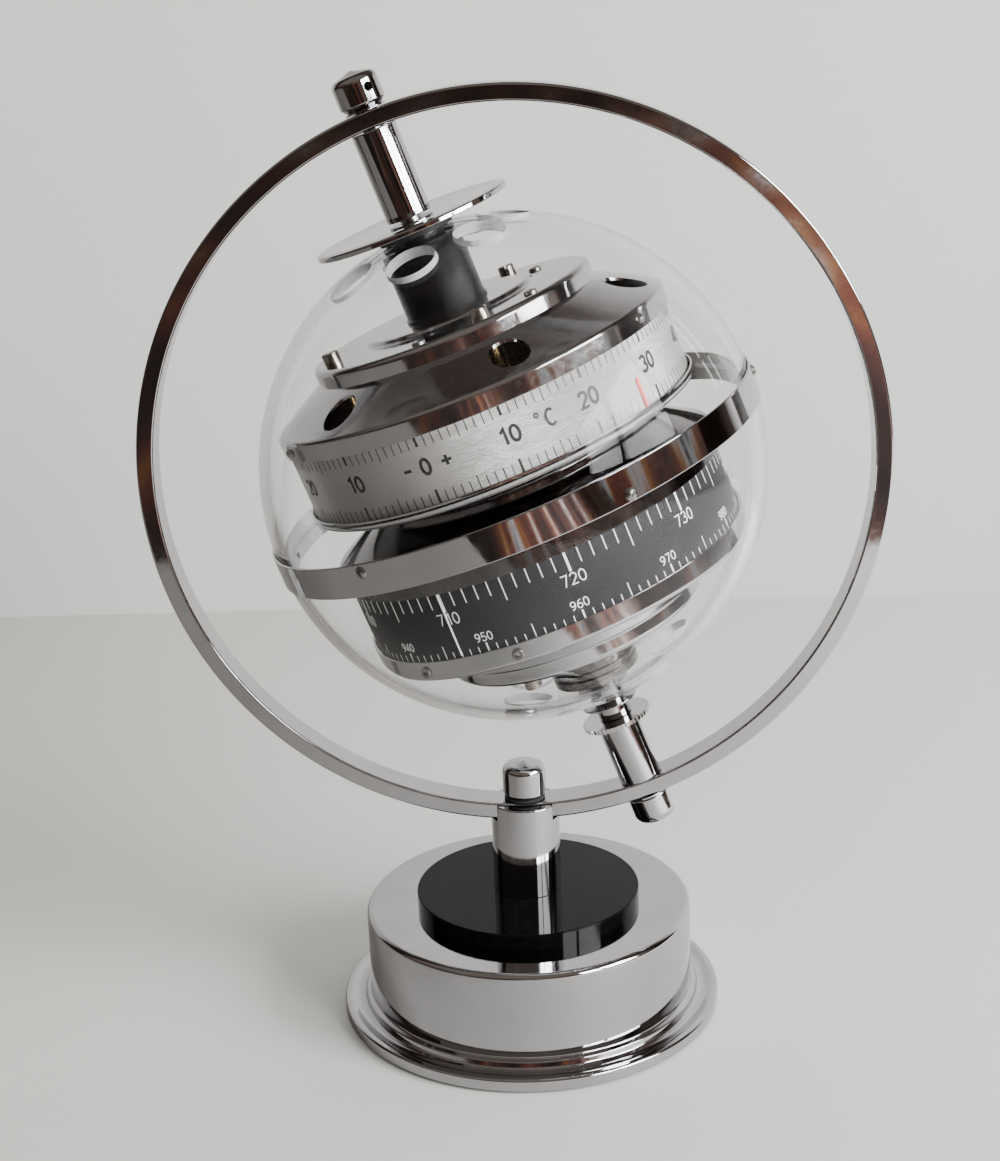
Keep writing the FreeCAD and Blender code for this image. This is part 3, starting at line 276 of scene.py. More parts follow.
def carve(obj, cutters):
    """Cut meshes out of an object in its own coordinates."""
    joined = bmesh.new()
    for mesh in cutters:
        joined.from_mesh(mesh)
    tool = bpy.data.meshes.new("cutter")
    joined.to_mesh(tool)
    joined.free()
    helper = bpy.data.objects.new("cutter", tool)
    bpy.context.scene.collection.objects.link(helper)
    modifier = obj.modifiers.new("cut", "BOOLEAN")
    modifier.operation = "DIFFERENCE"
    modifier.solver = "EXACT"
    modifier.object = helper
    bpy.context.view_layer.update()
    graph = bpy.context.evaluated_depsgraph_get()
    result = bpy.data.meshes.new_from_object(obj.evaluated_get(graph))
    obj.modifiers.clear()
    obj.data = result
    bpy.data.objects.remove(helper)


def finish_piece(obj, matrix, body, material, nodes):
    """Place a piece, paint it and say what it moves with and which nodes it replaces."""
    obj.matrix_world = matrix
    for item in [material] if not isinstance(material, list) else material:
        obj.data.materials.append(item)
    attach(obj, body)
    if nodes:
        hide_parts(*nodes)


def turned(name, profile, matrix, body, material, nodes, segments=192, holes=(),
           boxes=(), fine=2.0):
    """A turned piece, with round holes given as (origin, direction, radius, low, high)."""
    edges = profile_edges(profile, fine)
    obj = bpy.data.objects.new(name, lathe_mesh(name, edges, segments))
    bpy.context.scene.collection.objects.link(obj)
    cutters = [cylinder_mesh(*hole) for hole in holes] + [box_mesh(*box) for box in boxes]
    if cutters:
        carve(obj, cutters)
    walls = [(np.array(hole[0], float), np.array(hole[1], float), hole[2]) for hole in holes]
    shade_turned(obj.data, edges, walls)
    finish_piece(obj, matrix, body, material, nodes)
    if holes and isinstance(material, list):
        paint_holes(obj.data, walls)
    return obj


def paint_holes(mesh, walls):
    """Give the second material to the faces inside round holes."""
    for polygon in mesh.polygons:
        centre = np.array(polygon.center)
        normal = np.array(polygon.normal)
        for origin, direction, radius in walls:
            offset = centre - origin
            offset = offset - (offset @ direction) * direction
            if abs(np.linalg.norm(offset) - radius) < 0.1 and abs(normal @ direction) < 0.3:
                polygon.material_index = 1


def paint_inside(mesh, radius):
    """Give the second material to the faces inside a radius."""
    for polygon in mesh.polygons:
        if math.hypot(polygon.center[0], polygon.center[1]) < radius:
            polygon.material_index = 1


# ---------------------------------------------------------------- materials

def new_material(name):
    """A material with its node tree and its shader."""
    material = bpy.data.materials.new(name)
    material.use_nodes = True
    tree = material.node_tree
    shader = tree.nodes["Principled BSDF"]
    return material, tree, shader


def noise(tree, scale, detail=3.0, stretch=(1, 1, 1), roughness=0.5, kind="Object"):
    """Noise in the piece's own coordinates: millimetres on turned pieces, metres on the others."""
    place = tree.nodes.new("ShaderNodeTexCoord")
    mapping = tree.nodes.new("ShaderNodeMapping")
    mapping.inputs["Scale"].default_value = stretch
    texture = tree.nodes.new("ShaderNodeTexNoise")
    texture.inputs["Scale"].default_value = scale
    texture.inputs["Detail"].default_value = detail
    texture.inputs["Roughness"].default_value = roughness
    tree.links.new(place.outputs[kind], mapping.inputs["Vector"])
    tree.links.new(mapping.outputs["Vector"], texture.inputs["Vector"])
    return texture.outputs["Fac"]


def spread(tree, source, low, high, near=0.0, far=1.0):
    """Map a 0 to 1 value to a range."""
    node = tree.nodes.new("ShaderNodeMapRange")
    node.inputs["From Min"].default_value = near
    node.inputs["From Max"].default_value = far
    node.inputs["To Min"].default_value = low
    node.inputs["To Max"].default_value = high
    tree.links.new(source, node.inputs["Value"])
    return node.outputs["Result"]


def tint(tree, source, dark, light, near=0.3, far=0.7):
    """Blend two colours by a 0 to 1 value."""
    ramp = tree.nodes.new("ShaderNodeValToRGB")
    ramp.color_ramp.elements[0].position = near
    ramp.color_ramp.elements[0].color = (*dark, 1)
    ramp.color_ramp.elements[1].position = far
    ramp.color_ramp.elements[1].color = (*light, 1)
    tree.links.new(source, ramp.inputs["Fac"])
    return ramp.outputs["Color"]


def bump(tree, shader, source, strength, distance):
    """Raise the surface by a 0 to 1 value."""
    node = tree.nodes.new("ShaderNodeBump")
    node.inputs["Strength"].default_value = strength
    node.inputs["Distance"].default_value = distance
    tree.links.new(source, node.inputs["Height"])
    tree.links.new(node.outputs["Normal"], shader.inputs["Normal"])


def brushed(material, detail, stretch, strength, distance):
    """Fine lines round a piece, from noise squeezed along the axle."""
    tree = material.node_tree
    lines = noise(tree, 1.0, detail, stretch)
    bump(tree, tree.nodes["Principled BSDF"], lines, strength, distance)


def see_through(tree, shader, factor):
    """Let through the rays that a 0 to 1 value picks."""
    clear = tree.nodes.new("ShaderNodeBsdfTransparent")
    mix = tree.nodes.new("ShaderNodeMixShader")
    tree.links.new(factor, mix.inputs["Fac"])
    tree.links.new(shader.outputs["BSDF"], mix.inputs[1])
    tree.links.new(clear.outputs["BSDF"], mix.inputs[2])
    tree.links.new(mix.outputs["Shader"], tree.nodes["Material Output"].inputs["Surface"])


def metal(name, dark, light, rough_low, rough_high, scale):
    """Polished or turned metal: cloudy handling marks in its roughness, faint uneven plating."""
    material, tree, shader = new_material(name)
    shader.inputs["Metallic"].default_value = 1.0
    marks = noise(tree, 0.06 * scale, 5.0)
    tree.links.new(tint(tree, marks, dark, light), shader.inputs["Base Color"])
    fine = noise(tree, 0.6 * scale, 6.0, roughness=0.65)
    tree.links.new(spread(tree, fine, rough_low, rough_high, 0.35, 0.75), shader.inputs["Roughness"])
    return material


def coated(name, dark, light, roughness, scale, specular=0.5, grain=0.0, unit=1.0):
    """Paint or plastic with a slight unevenness."""
    material, tree, shader = new_material(name)
    shader.inputs["Specular IOR Level"].default_value = specular
    tree.links.new(tint(tree, noise(tree, 0.3 * scale, 6.0), dark, light), shader.inputs["Base Color"])
    fine = noise(tree, 2.0 * scale, 6.0)
    tree.links.new(spread(tree, fine, roughness * 0.94, roughness * 1.06), shader.inputs["Roughness"])
    if grain:
        bump(tree, shader, fine, grain, 0.05 * unit)
    return material


def clear_plastic():
    """Clear acrylic that lets light through to what is inside."""
    material, tree, shader = new_material("clear_acrylic")
    shader.inputs["Roughness"].default_value = 0.0
    shader.inputs["Transmission Weight"].default_value = 1.0
    shader.inputs["IOR"].default_value = 1.22
    film = tint(tree, noise(tree, 0.05, 5.0), (0.972, 0.976, 0.978), (0.99, 0.992, 0.992))
    tree.links.new(film, shader.inputs["Base Color"])
    path = tree.nodes.new("ShaderNodeLightPath")
    see_through(tree, shader, path.outputs["Is Shadow Ray"])
    return material


CHROME = metal("bright_chrome", (0.44, 0.44, 0.45), (0.50, 0.50, 0.51), 0.03, 0.09, 1.0)
CHROME_CAD = metal("bright_chrome_parts", (0.50, 0.50, 0.51), (0.58, 0.58, 0.59), 0.05, 0.12, 1000.0)
COVER = metal("cover_chrome", (0.46, 0.46, 0.47), (0.53, 0.53, 0.54), 0.05, 0.13, 1.0)
# A much darker copy of the cover chrome, for the barometer cover.
DARK_COVER = metal("dark_cover_chrome", (0.10, 0.098, 0.10), (0.17, 0.165, 0.165), 0.06, 0.16, 1.0)
ACRYLIC = clear_plastic()
FROST = coated("frosted_edge", (0.45, 0.46, 0.47), (0.66, 0.67, 0.68), 0.5, 1.0, 0.4, 0.3)
FROST.node_tree.nodes["Principled BSDF"].inputs["Alpha"].default_value = 0.6
GLOSS = coated("gloss_black", (0.002, 0.002, 0.002), (0.004, 0.004, 0.004), 0.05, 1.0, 0.08)
DIAL_BLACK = coated("dial_black", (0.020, 0.020, 0.0215), (0.024, 0.024, 0.026), 0.34, 0.1, 0.02)
LINING = coated("dark_lining", (0.006, 0.006, 0.006), (0.014, 0.013, 0.012), 0.6, 1.0, 0.2)
WHITE = coated("white_print", (0.66, 0.66, 0.64), (0.80, 0.80, 0.78), 0.45, 2.0, 0.4)
BLACK = coated("black_print", (0.012, 0.012, 0.012), (0.03, 0.03, 0.03), 0.45, 2.0, 0.4)
RED = coated("red_lacquer", (0.45, 0.015, 0.01), (0.60, 0.03, 0.02), 0.3, 1000.0, 0.5)
WHITE_CAD = coated("white_lacquer", (0.75, 0.75, 0.73), (0.88, 0.88, 0.86), 0.35, 1000.0, 0.5)
RUBBER = coated("black_rubber", (0.012, 0.012, 0.012), (0.03, 0.03, 0.03), 0.6, 1.0, 0.3, 0.3)
RUBBER_CAD = coated("black_rubber_parts", (0.012, 0.012, 0.012), (0.03, 0.03, 0.03), 0.6, 1000.0, 0.3)
FELT = coated("felt", (0.008, 0.008, 0.008), (0.03, 0.03, 0.03), 0.95, 4000.0, 0.1, 0.8, 0.001)
IRON = coated("casting", (0.06, 0.06, 0.06), (0.16, 0.155, 0.15), 0.7, 600.0, 0.4, 0.6, 0.001)
STEEL = metal("turned_steel", (0.40, 0.40, 0.41), (0.55, 0.55, 0.56), 0.22, 0.38, 1000.0)
NICKEL = metal("screw_nickel", (0.30, 0.27, 0.23), (0.52, 0.49, 0.44), 0.14, 0.34, 2500.0)
WORN = metal("worn_steel", (0.16, 0.15, 0.14), (0.42, 0.41, 0.40), 0.22, 0.45, 2500.0)
BUSH = metal("bush_metal", (0.14, 0.135, 0.13), (0.26, 0.25, 0.24), 0.16, 0.32, 1.0)
BRASS = metal("machined_brass", (0.55, 0.38, 0.14), (0.72, 0.53, 0.25), 0.18, 0.36, 1000.0)
BIMETAL = metal("bimetal", (0.46, 0.33, 0.18), (0.60, 0.44, 0.26), 0.28, 0.45, 1000.0)
CAPSULE = metal("nickel_silver", (0.52, 0.50, 0.45), (0.66, 0.64, 0.58), 0.2, 0.34, 1000.0)
NECK = coated("satin_black", (0.002, 0.002, 0.002), (0.004, 0.004, 0.004), 0.2, 1.0, 0.5)
brushed(NECK, 2.0, (0.01, 0.01, 4.0), 0.25, 0.02)
DIAL_SILVER = metal("dial_silver", (0.62, 0.615, 0.60), (0.72, 0.715, 0.70), 0.34, 0.46, 1.0)
brushed(DIAL_SILVER, 3.0, (0.05, 0.05, 9.0), 0.35, 0.03)


# ---------------------------------------------------------------- stand

turned("base_shell_chrome", [
    (49.3, 0.4), (58.2, 0.4, 0.3), (58.9, 1.0, 0.4), (58.9, 4.5, 0.9), (57.0, 4.7, 1.2),
    (54.4, 3.75, 3.0), (52.4, 4.6, 0.8), (51.9, 6.3, 0.5), (50.5, 6.9, 0.6), (50.5, 33.9, 1.8),
    (ROD_BORE, 33.9), (ROD_BORE, 32.7), (49.3, 32.7)],
    UPRIGHT, "stand", CHROME, ["base_shell"], 384)
turned("base_disc_gloss", [
    (ROD_BORE, 33.9), (34.6, 33.9), (34.6, 38.6, 0.45), (ROD_BORE, 38.6)],
    UPRIGHT, "stand", GLOSS, ["base_disc"], 256)
turned("ring_column_chrome", [
    (ROD_BORE, 38.6), (10.5, 38.6, 0.2), (10.5, 67.8, 0.5), (ROD_BORE, 67.8)],
    UPRIGHT, "stand", CHROME, ["ring_column"], 192,
    boxes=[((-20, -6.2, 62.95), (20, 6.2, 80))])
turned("ring_washer_rubber", [
    (ROD_BORE, 68.35), (6.2, 68.35, 0.3), (6.2, 69.3, 0.3), (ROD_BORE, 69.3)],
    UPRIGHT, "stand", RUBBER, ["ring_washer"], 96)
turned("ring_dome_nut_chrome", [
    (ROD_BORE, 69.3), (5.45, 69.3), (6.65, 70.4, 0.4), (6.65, 79.2, 2.4), (0, 80.5), (0, 77.0),
    (ROD_BORE, 77.0)],
    UPRIGHT, "stand", CHROME, ["ring_dome_nut"], 128)
turned("meridian_ring_chrome", [
    (104.9, -5.3, 0.7), (109.96, -5.3, 0.7), (109.96, 5.3, 0.7), (104.9, 5.3, 0.7)],
    RING, "stand", CHROME, ["meridian_ring"], 512)
for side, sign, near in (("upper", 1, 78.5), ("lower", -1, 84.6)):
    turned(side + "_sleeve_chrome", [
        (SLEEVE_BORE, sign * near), (6.6, sign * near, 0.4), (6.6, sign * 104.6, 0.4),
        (SLEEVE_BORE, sign * 104.6)],
        AXLE, "stand", CHROME, [side + "_sleeve"], 128)
knob_hole = math.radians(-55)
turned("upper_knob_chrome", [
    (ROD_BORE, 110.5), (5.1, 110.5, 0.2), (6.7, 112.1, 0.4), (6.7, 119.6, 2.3), (0, 121.4),
    (0, 117.0), (ROD_BORE, 117.0)],
    AXLE, "stand", [CHROME, RUBBER], ["upper_knob"], 128,
    holes=[((0, 0, 115.8), (math.cos(knob_hole), math.sin(knob_hole), 0), 1.35, -9, 9)])
turned("lower_knob_chrome", [
    (ROD_BORE, -110.5), (6.5, -110.5, 0.4), (6.5, -119.3, 3.0), (0, -119.4), (0, -117.0),
    (ROD_BORE, -117.0)],
    AXLE, "stand", CHROME, ["lower_knob"], 128)

# ---------------------------------------------------------------- globe

for side, sign, turn in (("upper", 1, -94.1), ("lower", -1, -104.0)):
    lean = math.asin(VENT_CIRCLE / GLOBE_OUTER)
    holes = []
    for number in range(7):
        around = math.radians(turn + 360 * number / 7)
        direction = (math.sin(lean) * math.cos(around), math.sin(lean) * math.sin(around),
                     sign * math.cos(lean))
        holes.append(((0, 0, 0), direction, VENT_RADIUS, 65, 90))
    flat = 73.35
    pole = math.degrees(math.asin(flat / GLOBE_OUTER))
    inside = math.degrees(math.acos(GLOBE_MOUTH / GLOBE_INNER))
    turned(side + "_hemisphere_clear", [
        arc(0, 0, GLOBE_OUTER, sign * 0.05, sign * pole), (GLOBE_MOUTH, sign * flat),
        arc(0, 0, GLOBE_INNER, sign * inside, sign * 0.05)],
        AXLE, "globe", [ACRYLIC, FROST], [side + "_hemisphere"], 256,
        holes=holes, fine=1.5)
turned("equator_band_chrome", [
    (74.05, -4.7), (74.74, -4.7, 0.3), (74.74, 4.7, 0.3), (74.05, 4.7)],
    AXLE, "globe", CHROME, ["equator_band"], 384)
turned("pole_disc_chrome", [
    (SLEEVE_BORE, 77.2), (26.6, 77.2, 0.5), (27.6, 76.3, 0.3), (28.65, 76.3, 0.3), (28.65, 77.9, 0.6),
    (26.2, 78.2, 2.0), (20.0, 77.85, 6.0), (SLEEVE_BORE, 77.85)],
    AXLE, "globe", CHROME, ["pole_disc"], 256)
turned("upper_neck_satin", [
    (6.0, 50.5), (12.3, 50.5, 0.3), (12.3, 51.4, 0.3), (11.8, 51.5), (11.8, 69.8, 0.4),
    (7.9, 69.8), (7.9, 77.1), (ROD_BORE, 77.1), (ROD_BORE, 64.1), (6.0, 64.1)],
    AXLE, "globe", NECK, ["upper_neck"], 192)
turned("lower_bush_satin", [
    (ROD_BORE, -73.3), (7.9, -73.3), (7.9, -69.3), (13.5, -69.3, 0.4), (13.5, -66.3, 0.2),
    (12.6, -66.0, 0.2), (12.6, -65.2, 0.2), (13.5, -64.9, 0.2), (13.5, -64.0, 0.2),
    (12.6, -63.7, 0.2), (12.6, -62.9, 0.2), (13.5, -62.6, 0.2), (13.5, -60.2, 0.5),
    (8.0, -60.2), (8.0, -51.5), (ROD_BORE, -51.5)],
    AXLE, "globe", BUSH, ["lower_bush"], 192)
turned("lower_neck_chrome", [
    (ROD_BORE, -83.0), (5.0, -83.0), (5.0, -78.3), (8.7, -78.3, 0.2), (8.7, -77.7, 0.2),
    (5.0, -77.7), (5.0, -73.35), (ROD_BORE, -73.35)],
    AXLE, "globe", CHROME, ["lower_neck"], 128)

# ---------------------------------------------------------------- thermometer

vents = []
for number in range(6):
    around = math.radians(-71.6 + 60 * number)
    place = (50.6 * math.cos(around), 50.6 * math.sin(around), 0)
    vents.append((place, (0, 0, 1), 5.5, 30, 60))
turned("thermometer_cover_chrome", [
    (59.3, 29.9, 0.2), (59.3, 35.3, 1.4), (42.3, 44.2), (42.3, 49.2, 1.8), (25.6, 49.2, 1.6),
    (24.4, 50.5, 1.4), (6.0, 50.5), (6.0, 49.7), (23.6, 49.7), (24.8, 48.4), (41.5, 48.4),
    (41.5, 43.8), (58.5, 34.9), (58.5, 29.9)],
    AXLE, "globe", COVER, ["thermometer_cover"], 384, holes=vents)
drum = turned("thermometer_drum_silver", [
    (57.3, 9.9), (CELSIUS_DRUM, 9.9), (CELSIUS_DRUM, 35.0), (57.3, 35.0)],
    AXLE, "globe", [DIAL_SILVER, LINING], ["thermometer_drum"], 384)
paint_inside(drum.data, CELSIUS_DRUM - 0.4)
turned("thermometer_floor_chrome", [
    (1.05, 7.6), (59.4, 7.6, 3.0), (59.4, 11.15, 0.25), (58.8, 11.15, 0.25), (58.8, 8.3, 0.3),
    (1.05, 8.3)],
    AXLE, "globe", COVER, ["thermometer_floor"], 384)

# ---------------------------------------------------------------- barometer

turned("barometer_cover_chrome", [
    (59.0, -13.3, 0.2), (59.0, -7.9, 1.4), (42.3, 1.0, 0.6), (42.3, 4.6, 1.6), (1.52, 4.6),
    (1.52, 4.0), (41.7, 4.0), (41.7, 0.7), (58.4, -8.2), (58.4, -13.3)],
    AXLE, "globe", DARK_COVER, ["barometer_cover"], 384)
turned("barometer_drum_black", [
    (56.8, -36.4), (PRESSURE_DRUM, -36.4), (PRESSURE_DRUM, -10.3), (56.8, -10.3)],
    AXLE, "globe", DIAL_BLACK, ["barometer_drum"], 384)
turned("barometer_tray_chrome", [
    (58.9, -32.2, 0.25), (58.9, -37.6, 1.4), (40.5, -46.5, 0.8), (40.5, -51.5, 1.8),
    (ROD_BORE, -51.5), (ROD_BORE, -50.7), (39.7, -50.7), (39.7, -46.1), (58.1, -37.2), (58.1, -32.2)],
    AXLE, "globe", COVER, ["barometer_tray"], 384)


# ---------------------------------------------------------------- printed scales

def bow(across, up, wide, high, start, end):
    """Points of an arc of a numeral."""
    steps = max(6, int(abs(end - start) / 15))
    turns = [math.radians(start + (end - start) * step / steps) for step in range(steps + 1)]
    return [(across + wide * math.cos(turn), up + high * math.sin(turn)) for turn in turns]


GLYPHS = {
    "0": [bow(0.30, 0.50, 0.27, 0.47, 90, 450)],
    "1": [[(0.2, 0.76), (0.45, 0.98), (0.45, 0.0)]],
    "2": [bow(0.30, 0.70, 0.26, 0.27, 165, -35) + [(0.05, 0.03), (0.57, 0.03)]],
    "3": [bow(0.28, 0.74, 0.24, 0.23, 155, -90), bow(0.28, 0.27, 0.28, 0.24, 90, -155)],
    "4": [[(0.44, 0.0), (0.44, 0.97), (0.02, 0.27), (0.60, 0.27)]],
    "5": [[(0.54, 0.97), (0.12, 0.97), (0.09, 0.50)] + bow(0.28, 0.31, 0.28, 0.28, 125, -150)],
    "6": [bow(0.30, 0.30, 0.26, 0.27, 0, 360), bow(0.55, 0.34, 0.51, 0.63, 178, 96)],
    "7": [[(0.03, 0.97), (0.57, 0.97), (0.22, 0.0)]],
    "8": [bow(0.30, 0.75, 0.22, 0.22, 90, 450), bow(0.30, 0.28, 0.27, 0.25, 90, 450)],
    "9": [bow(0.30, 0.70, 0.26, 0.27, 0, 360), bow(0.05, 0.66, 0.51, 0.63, -2, -84)],
    "C": [bow(0.34, 0.50, 0.30, 0.47, 50, 310)],
    "+": [[(0.05, 0.5), (0.55, 0.5)], [(0.30, 0.25), (0.30, 0.75)]],
    "-": [[(0.05, 0.5), (0.55, 0.5)]],
    "o": [bow(0.15, 0.86, 0.12, 0.12, 90, 450)],
}


class Print:
    """Ink lines laid round a drum, as thin closed strips."""

    def __init__(self, radius):
        self.radius = radius
        self.vertices = []
        self.faces = []

    def place(self, theta, level, lift):
        """A point of the drum's surface, with theta in degrees from the front."""
        turn = math.radians(theta - 90)
        out = self.radius + lift
        return (out * math.cos(turn), out * math.sin(turn), level)

    def strip(self, points, width):
        """A line through (angle, level) points; width is in millimetres."""
        scale = self.radius * math.pi / 180
        flat = [np.array([theta * scale, level]) for theta, level in points]
        closed = np.linalg.norm(flat[0] - flat[-1]) < SAME_PLACE
        if closed:
            flat = flat[:-1]
        count = len(flat)
        first = len(self.vertices)
        for index, here in enumerate(flat):
            before = flat[index - 1] if index or closed else here
            after = flat[(index + 1) % count] if index < count - 1 or closed else here
            runs = [run / np.linalg.norm(run) for run in (here - before, after - here)
                    if np.linalg.norm(run) > 1e-9]
            along = sum(runs) / np.linalg.norm(sum(runs))
            side = np.array([-along[1], along[0]])
            stretch = 1 / max(0.5, abs(float(along @ runs[0])))
            for turn, lift in ((1, -0.06), (1, 0.035), (-1, 0.035), (-1, -0.06)):
                spot = here + side * turn * width / 2 * stretch
                self.vertices.append(self.place(spot[0] / scale, spot[1], lift))
        spans = count if closed else count - 1
        for index in range(spans):
            low = first + 4 * index
            high = first + 4 * ((index + 1) % count)
            for corner in range(4):
                beside = (corner + 1) % 4
                self.faces.append([low + corner, high + corner, high + beside, low + beside])
        if not closed:
            self.faces.append([first + corner for corner in range(4)])
            self.faces.append([first + 4 * (count - 1) + corner for corner in (3, 2, 1, 0)])

    def tick(self, theta, start, end, width):
        """A line along the axle."""
        self.strip([(theta, start), (theta, end)], width)

    def text(self, words, theta, level, height, width, gap=0.16):
        """Numerals centred on an angle, with level at half their height."""
        scale = self.radius * math.pi / 180
        advance = (0.6 + gap) * height
        start = -(advance * len(words) - gap * height) / 2
        for number, letter in enumerate(words):
            left = start + number * advance
            for line in GLYPHS[letter]:
                points = [(theta + (left + across * height) / scale, level + (up - 0.5) * height)
                          for across, up in line]
                self.strip(points, width)

    def build(self, name, material):
        """Make the piece, with its faces turned outward."""
        mesh = bpy.data.meshes.new(name)
        mesh.from_pydata(self.vertices, [], self.faces)
        shape = bmesh.new()
        shape.from_mesh(mesh)
        bmesh.ops.recalc_face_normals(shape, faces=shape.faces)
        shape.to_mesh(mesh)
        shape.free()
        obj = bpy.data.objects.new(name, mesh)
        bpy.context.scene.collection.objects.link(obj)
        finish_piece(obj, AXLE, "globe", material, [])


def by_reading(reading, plain, fives, tens):
    """The tick sizes for a reading."""
    if reading % 10 == 0:
        return tens
    return fives if reading % 5 == 0 else plain


def celsius_angle(degrees):
    return -14.95 + 2.355 * degrees


def mmhg_angle(reading):
    return -27.3 + 3.73 * (reading - 710)


def mbar_angle(reading):
    return -33.1 + 2.8 * (reading - 945)


celsius = Print(CELSIUS_DRUM)
numerals = 21.4
for degrees in range(-30, 51):
    upper, lower, width = by_reading(degrees, (26.7, 14.0, 0.28), (25.9, 14.9, 0.28), (27.1, 14.7, 0.75))
    celsius.tick(celsius_angle(degrees), upper, 30.2, width)
    celsius.tick(celsius_angle(degrees), 10.8, lower, width)
    if degrees % 10 == 0:
        celsius.text(str(abs(degrees)), celsius_angle(degrees), numerals, 4.4, 0.9)
celsius.text("-", -20.3, numerals, 4.4, 0.85)
celsius.text("+", -8.9, numerals, 5.6, 0.85)
celsius.text("o", 17.6, numerals + 0.2, 4.7, 0.45)
celsius.text("C", 20.3, numerals, 4.5, 0.8)
celsius.build("thermometer_scale_print", BLACK)

pressure = Print(PRESSURE_DRUM)
for reading in range(696, 789):
    length, width = by_reading(reading, (4.5, 0.3), (7.0, 0.3), (5.8, 0.7))
    pressure.tick(mmhg_angle(reading), -13.0, -13.3 - length, width)
    if reading % 10 == 0:
        pressure.text(str(reading), mmhg_angle(reading), -21.2, 3.3, 0.33)
for reading in range(927, 1051):
    length, width = by_reading(reading, (1.5, 0.28), (3.6, 0.28), (2.2, 0.5))
    pressure.tick(mbar_angle(reading), -32.6, -32.3 + length, width)
    if reading % 10 == 0:
        pressure.text(str(reading), mbar_angle(reading), -28.3, 2.45, 0.28)
pressure.build("barometer_scale_print", WHITE)

# ---------------------------------------------------------------- carried-over pieces

CARRIED = {
    "bright_chrome": CHROME_CAD, "clear_acrylic": ACRYLIC, "frosted_black": GLOSS,
    "matt_black": NECK, "silver_dial": DIAL_SILVER, "black_dial": DIAL_BLACK, "red_paint": RED,
    "white_paint": WHITE_CAD, "iron": IRON, "steel": STEEL, "brass": BRASS, "bimetal": BIMETAL,
    "capsule_metal": CAPSULE, "felt": FELT, "rubber_black": RUBBER_CAD,
}
FASTENERS = {
    "tray_rivets": WORN, "cover_rivets": WORN, "rim_screws": WORN, "band_screws": WORN,
    "unit_screws": NICKEL,
}
slot_of = {part["node"]: part["material_slot"] for part in frame["record"]["subparts"]}
for name, node in frame["nodes"].items():
    for index in range(len(node.material_slots)):
        node.material_slots[index].material = FASTENERS.get(name, CARRIED[slot_of[name]])

# ---------------------------------------------------------------- room
# The camera sees a pale table and wall. Reflected rays see painted reflections on the floor, wall and
# world instead: the dim room that the chrome mirrors.

def stage_plane(name, corners, material):
    """A flat part of the room."""
    mesh = bpy.data.meshes.new(name)
    mesh.from_pydata(corners, [], [(0, 1, 2, 3)])
    mesh.materials.append(material)
    obj = bpy.data.objects.new(name, mesh)
    bpy.context.scene.collection.objects.link(obj)


def furniture(tree, source):
    """Painted reflection colours: the dim room in front of the table, as the chrome mirrors it: brown,
    with a few paler things.
    """
    ramp = tree.nodes.new("ShaderNodeValToRGB")
    stops = ((0.40, (0.018, 0.014, 0.014)), (0.50, (0.055, 0.030, 0.026)), (0.57, (0.16, 0.055, 0.040)),
             (0.60, (0.30, 0.14, 0.05)), (0.64, (0.45, 0.45, 0.46)), (0.68, (0.02, 0.017, 0.018)))
    elements = ramp.color_ramp.elements
    while len(elements) < len(stops):
        elements.new(0.5)
    for element, (position, shade) in zip(elements, stops):
        element.position = position
        element.color = (*shade, 1)
    tree.links.new(source, ramp.inputs["Fac"])
    return ramp.outputs["Color"]


def put(tree, value, socket):
    """Link an output, or set a plain value."""
    if isinstance(value, bpy.types.NodeSocket):
        tree.links.new(value, socket)
    else:
        socket.default_value = value


def calculate(tree, operation, *values):
    """One step of arithmetic."""
    node = tree.nodes.new("ShaderNodeMath")
    node.operation = operation
    for value, socket in zip(values, node.inputs):
        put(tree, value, socket)
    return node.outputs[0]


def blend(tree, factor, first, second, kind="RGBA"):
    """Mix two colours, or two numbers where kind is FLOAT."""
    node = tree.nodes.new("ShaderNodeMix")
    node.data_type = kind
    put(tree, factor, node.inputs["Factor"])
    put(tree, first, node.inputs["A"])
    put(tree, second, node.inputs["B"])
    return node.outputs["Result"]


def axes(tree, kind="Object"):
    """The X, Y and Z of a place in the room."""
    place = tree.nodes.new("ShaderNodeTexCoord")
    split = tree.nodes.new("ShaderNodeSeparateXYZ")
    tree.links.new(place.outputs[kind], split.inputs["Vector"])
    return split.outputs


def mirrored(tree):
    """1 for a ray that a shiny surface has reflected, and 0 for any other."""
    path = tree.nodes.new("ShaderNodeLightPath")
    return calculate(tree, "GREATER_THAN", path.outputs["Glossy Depth"], 0.5)


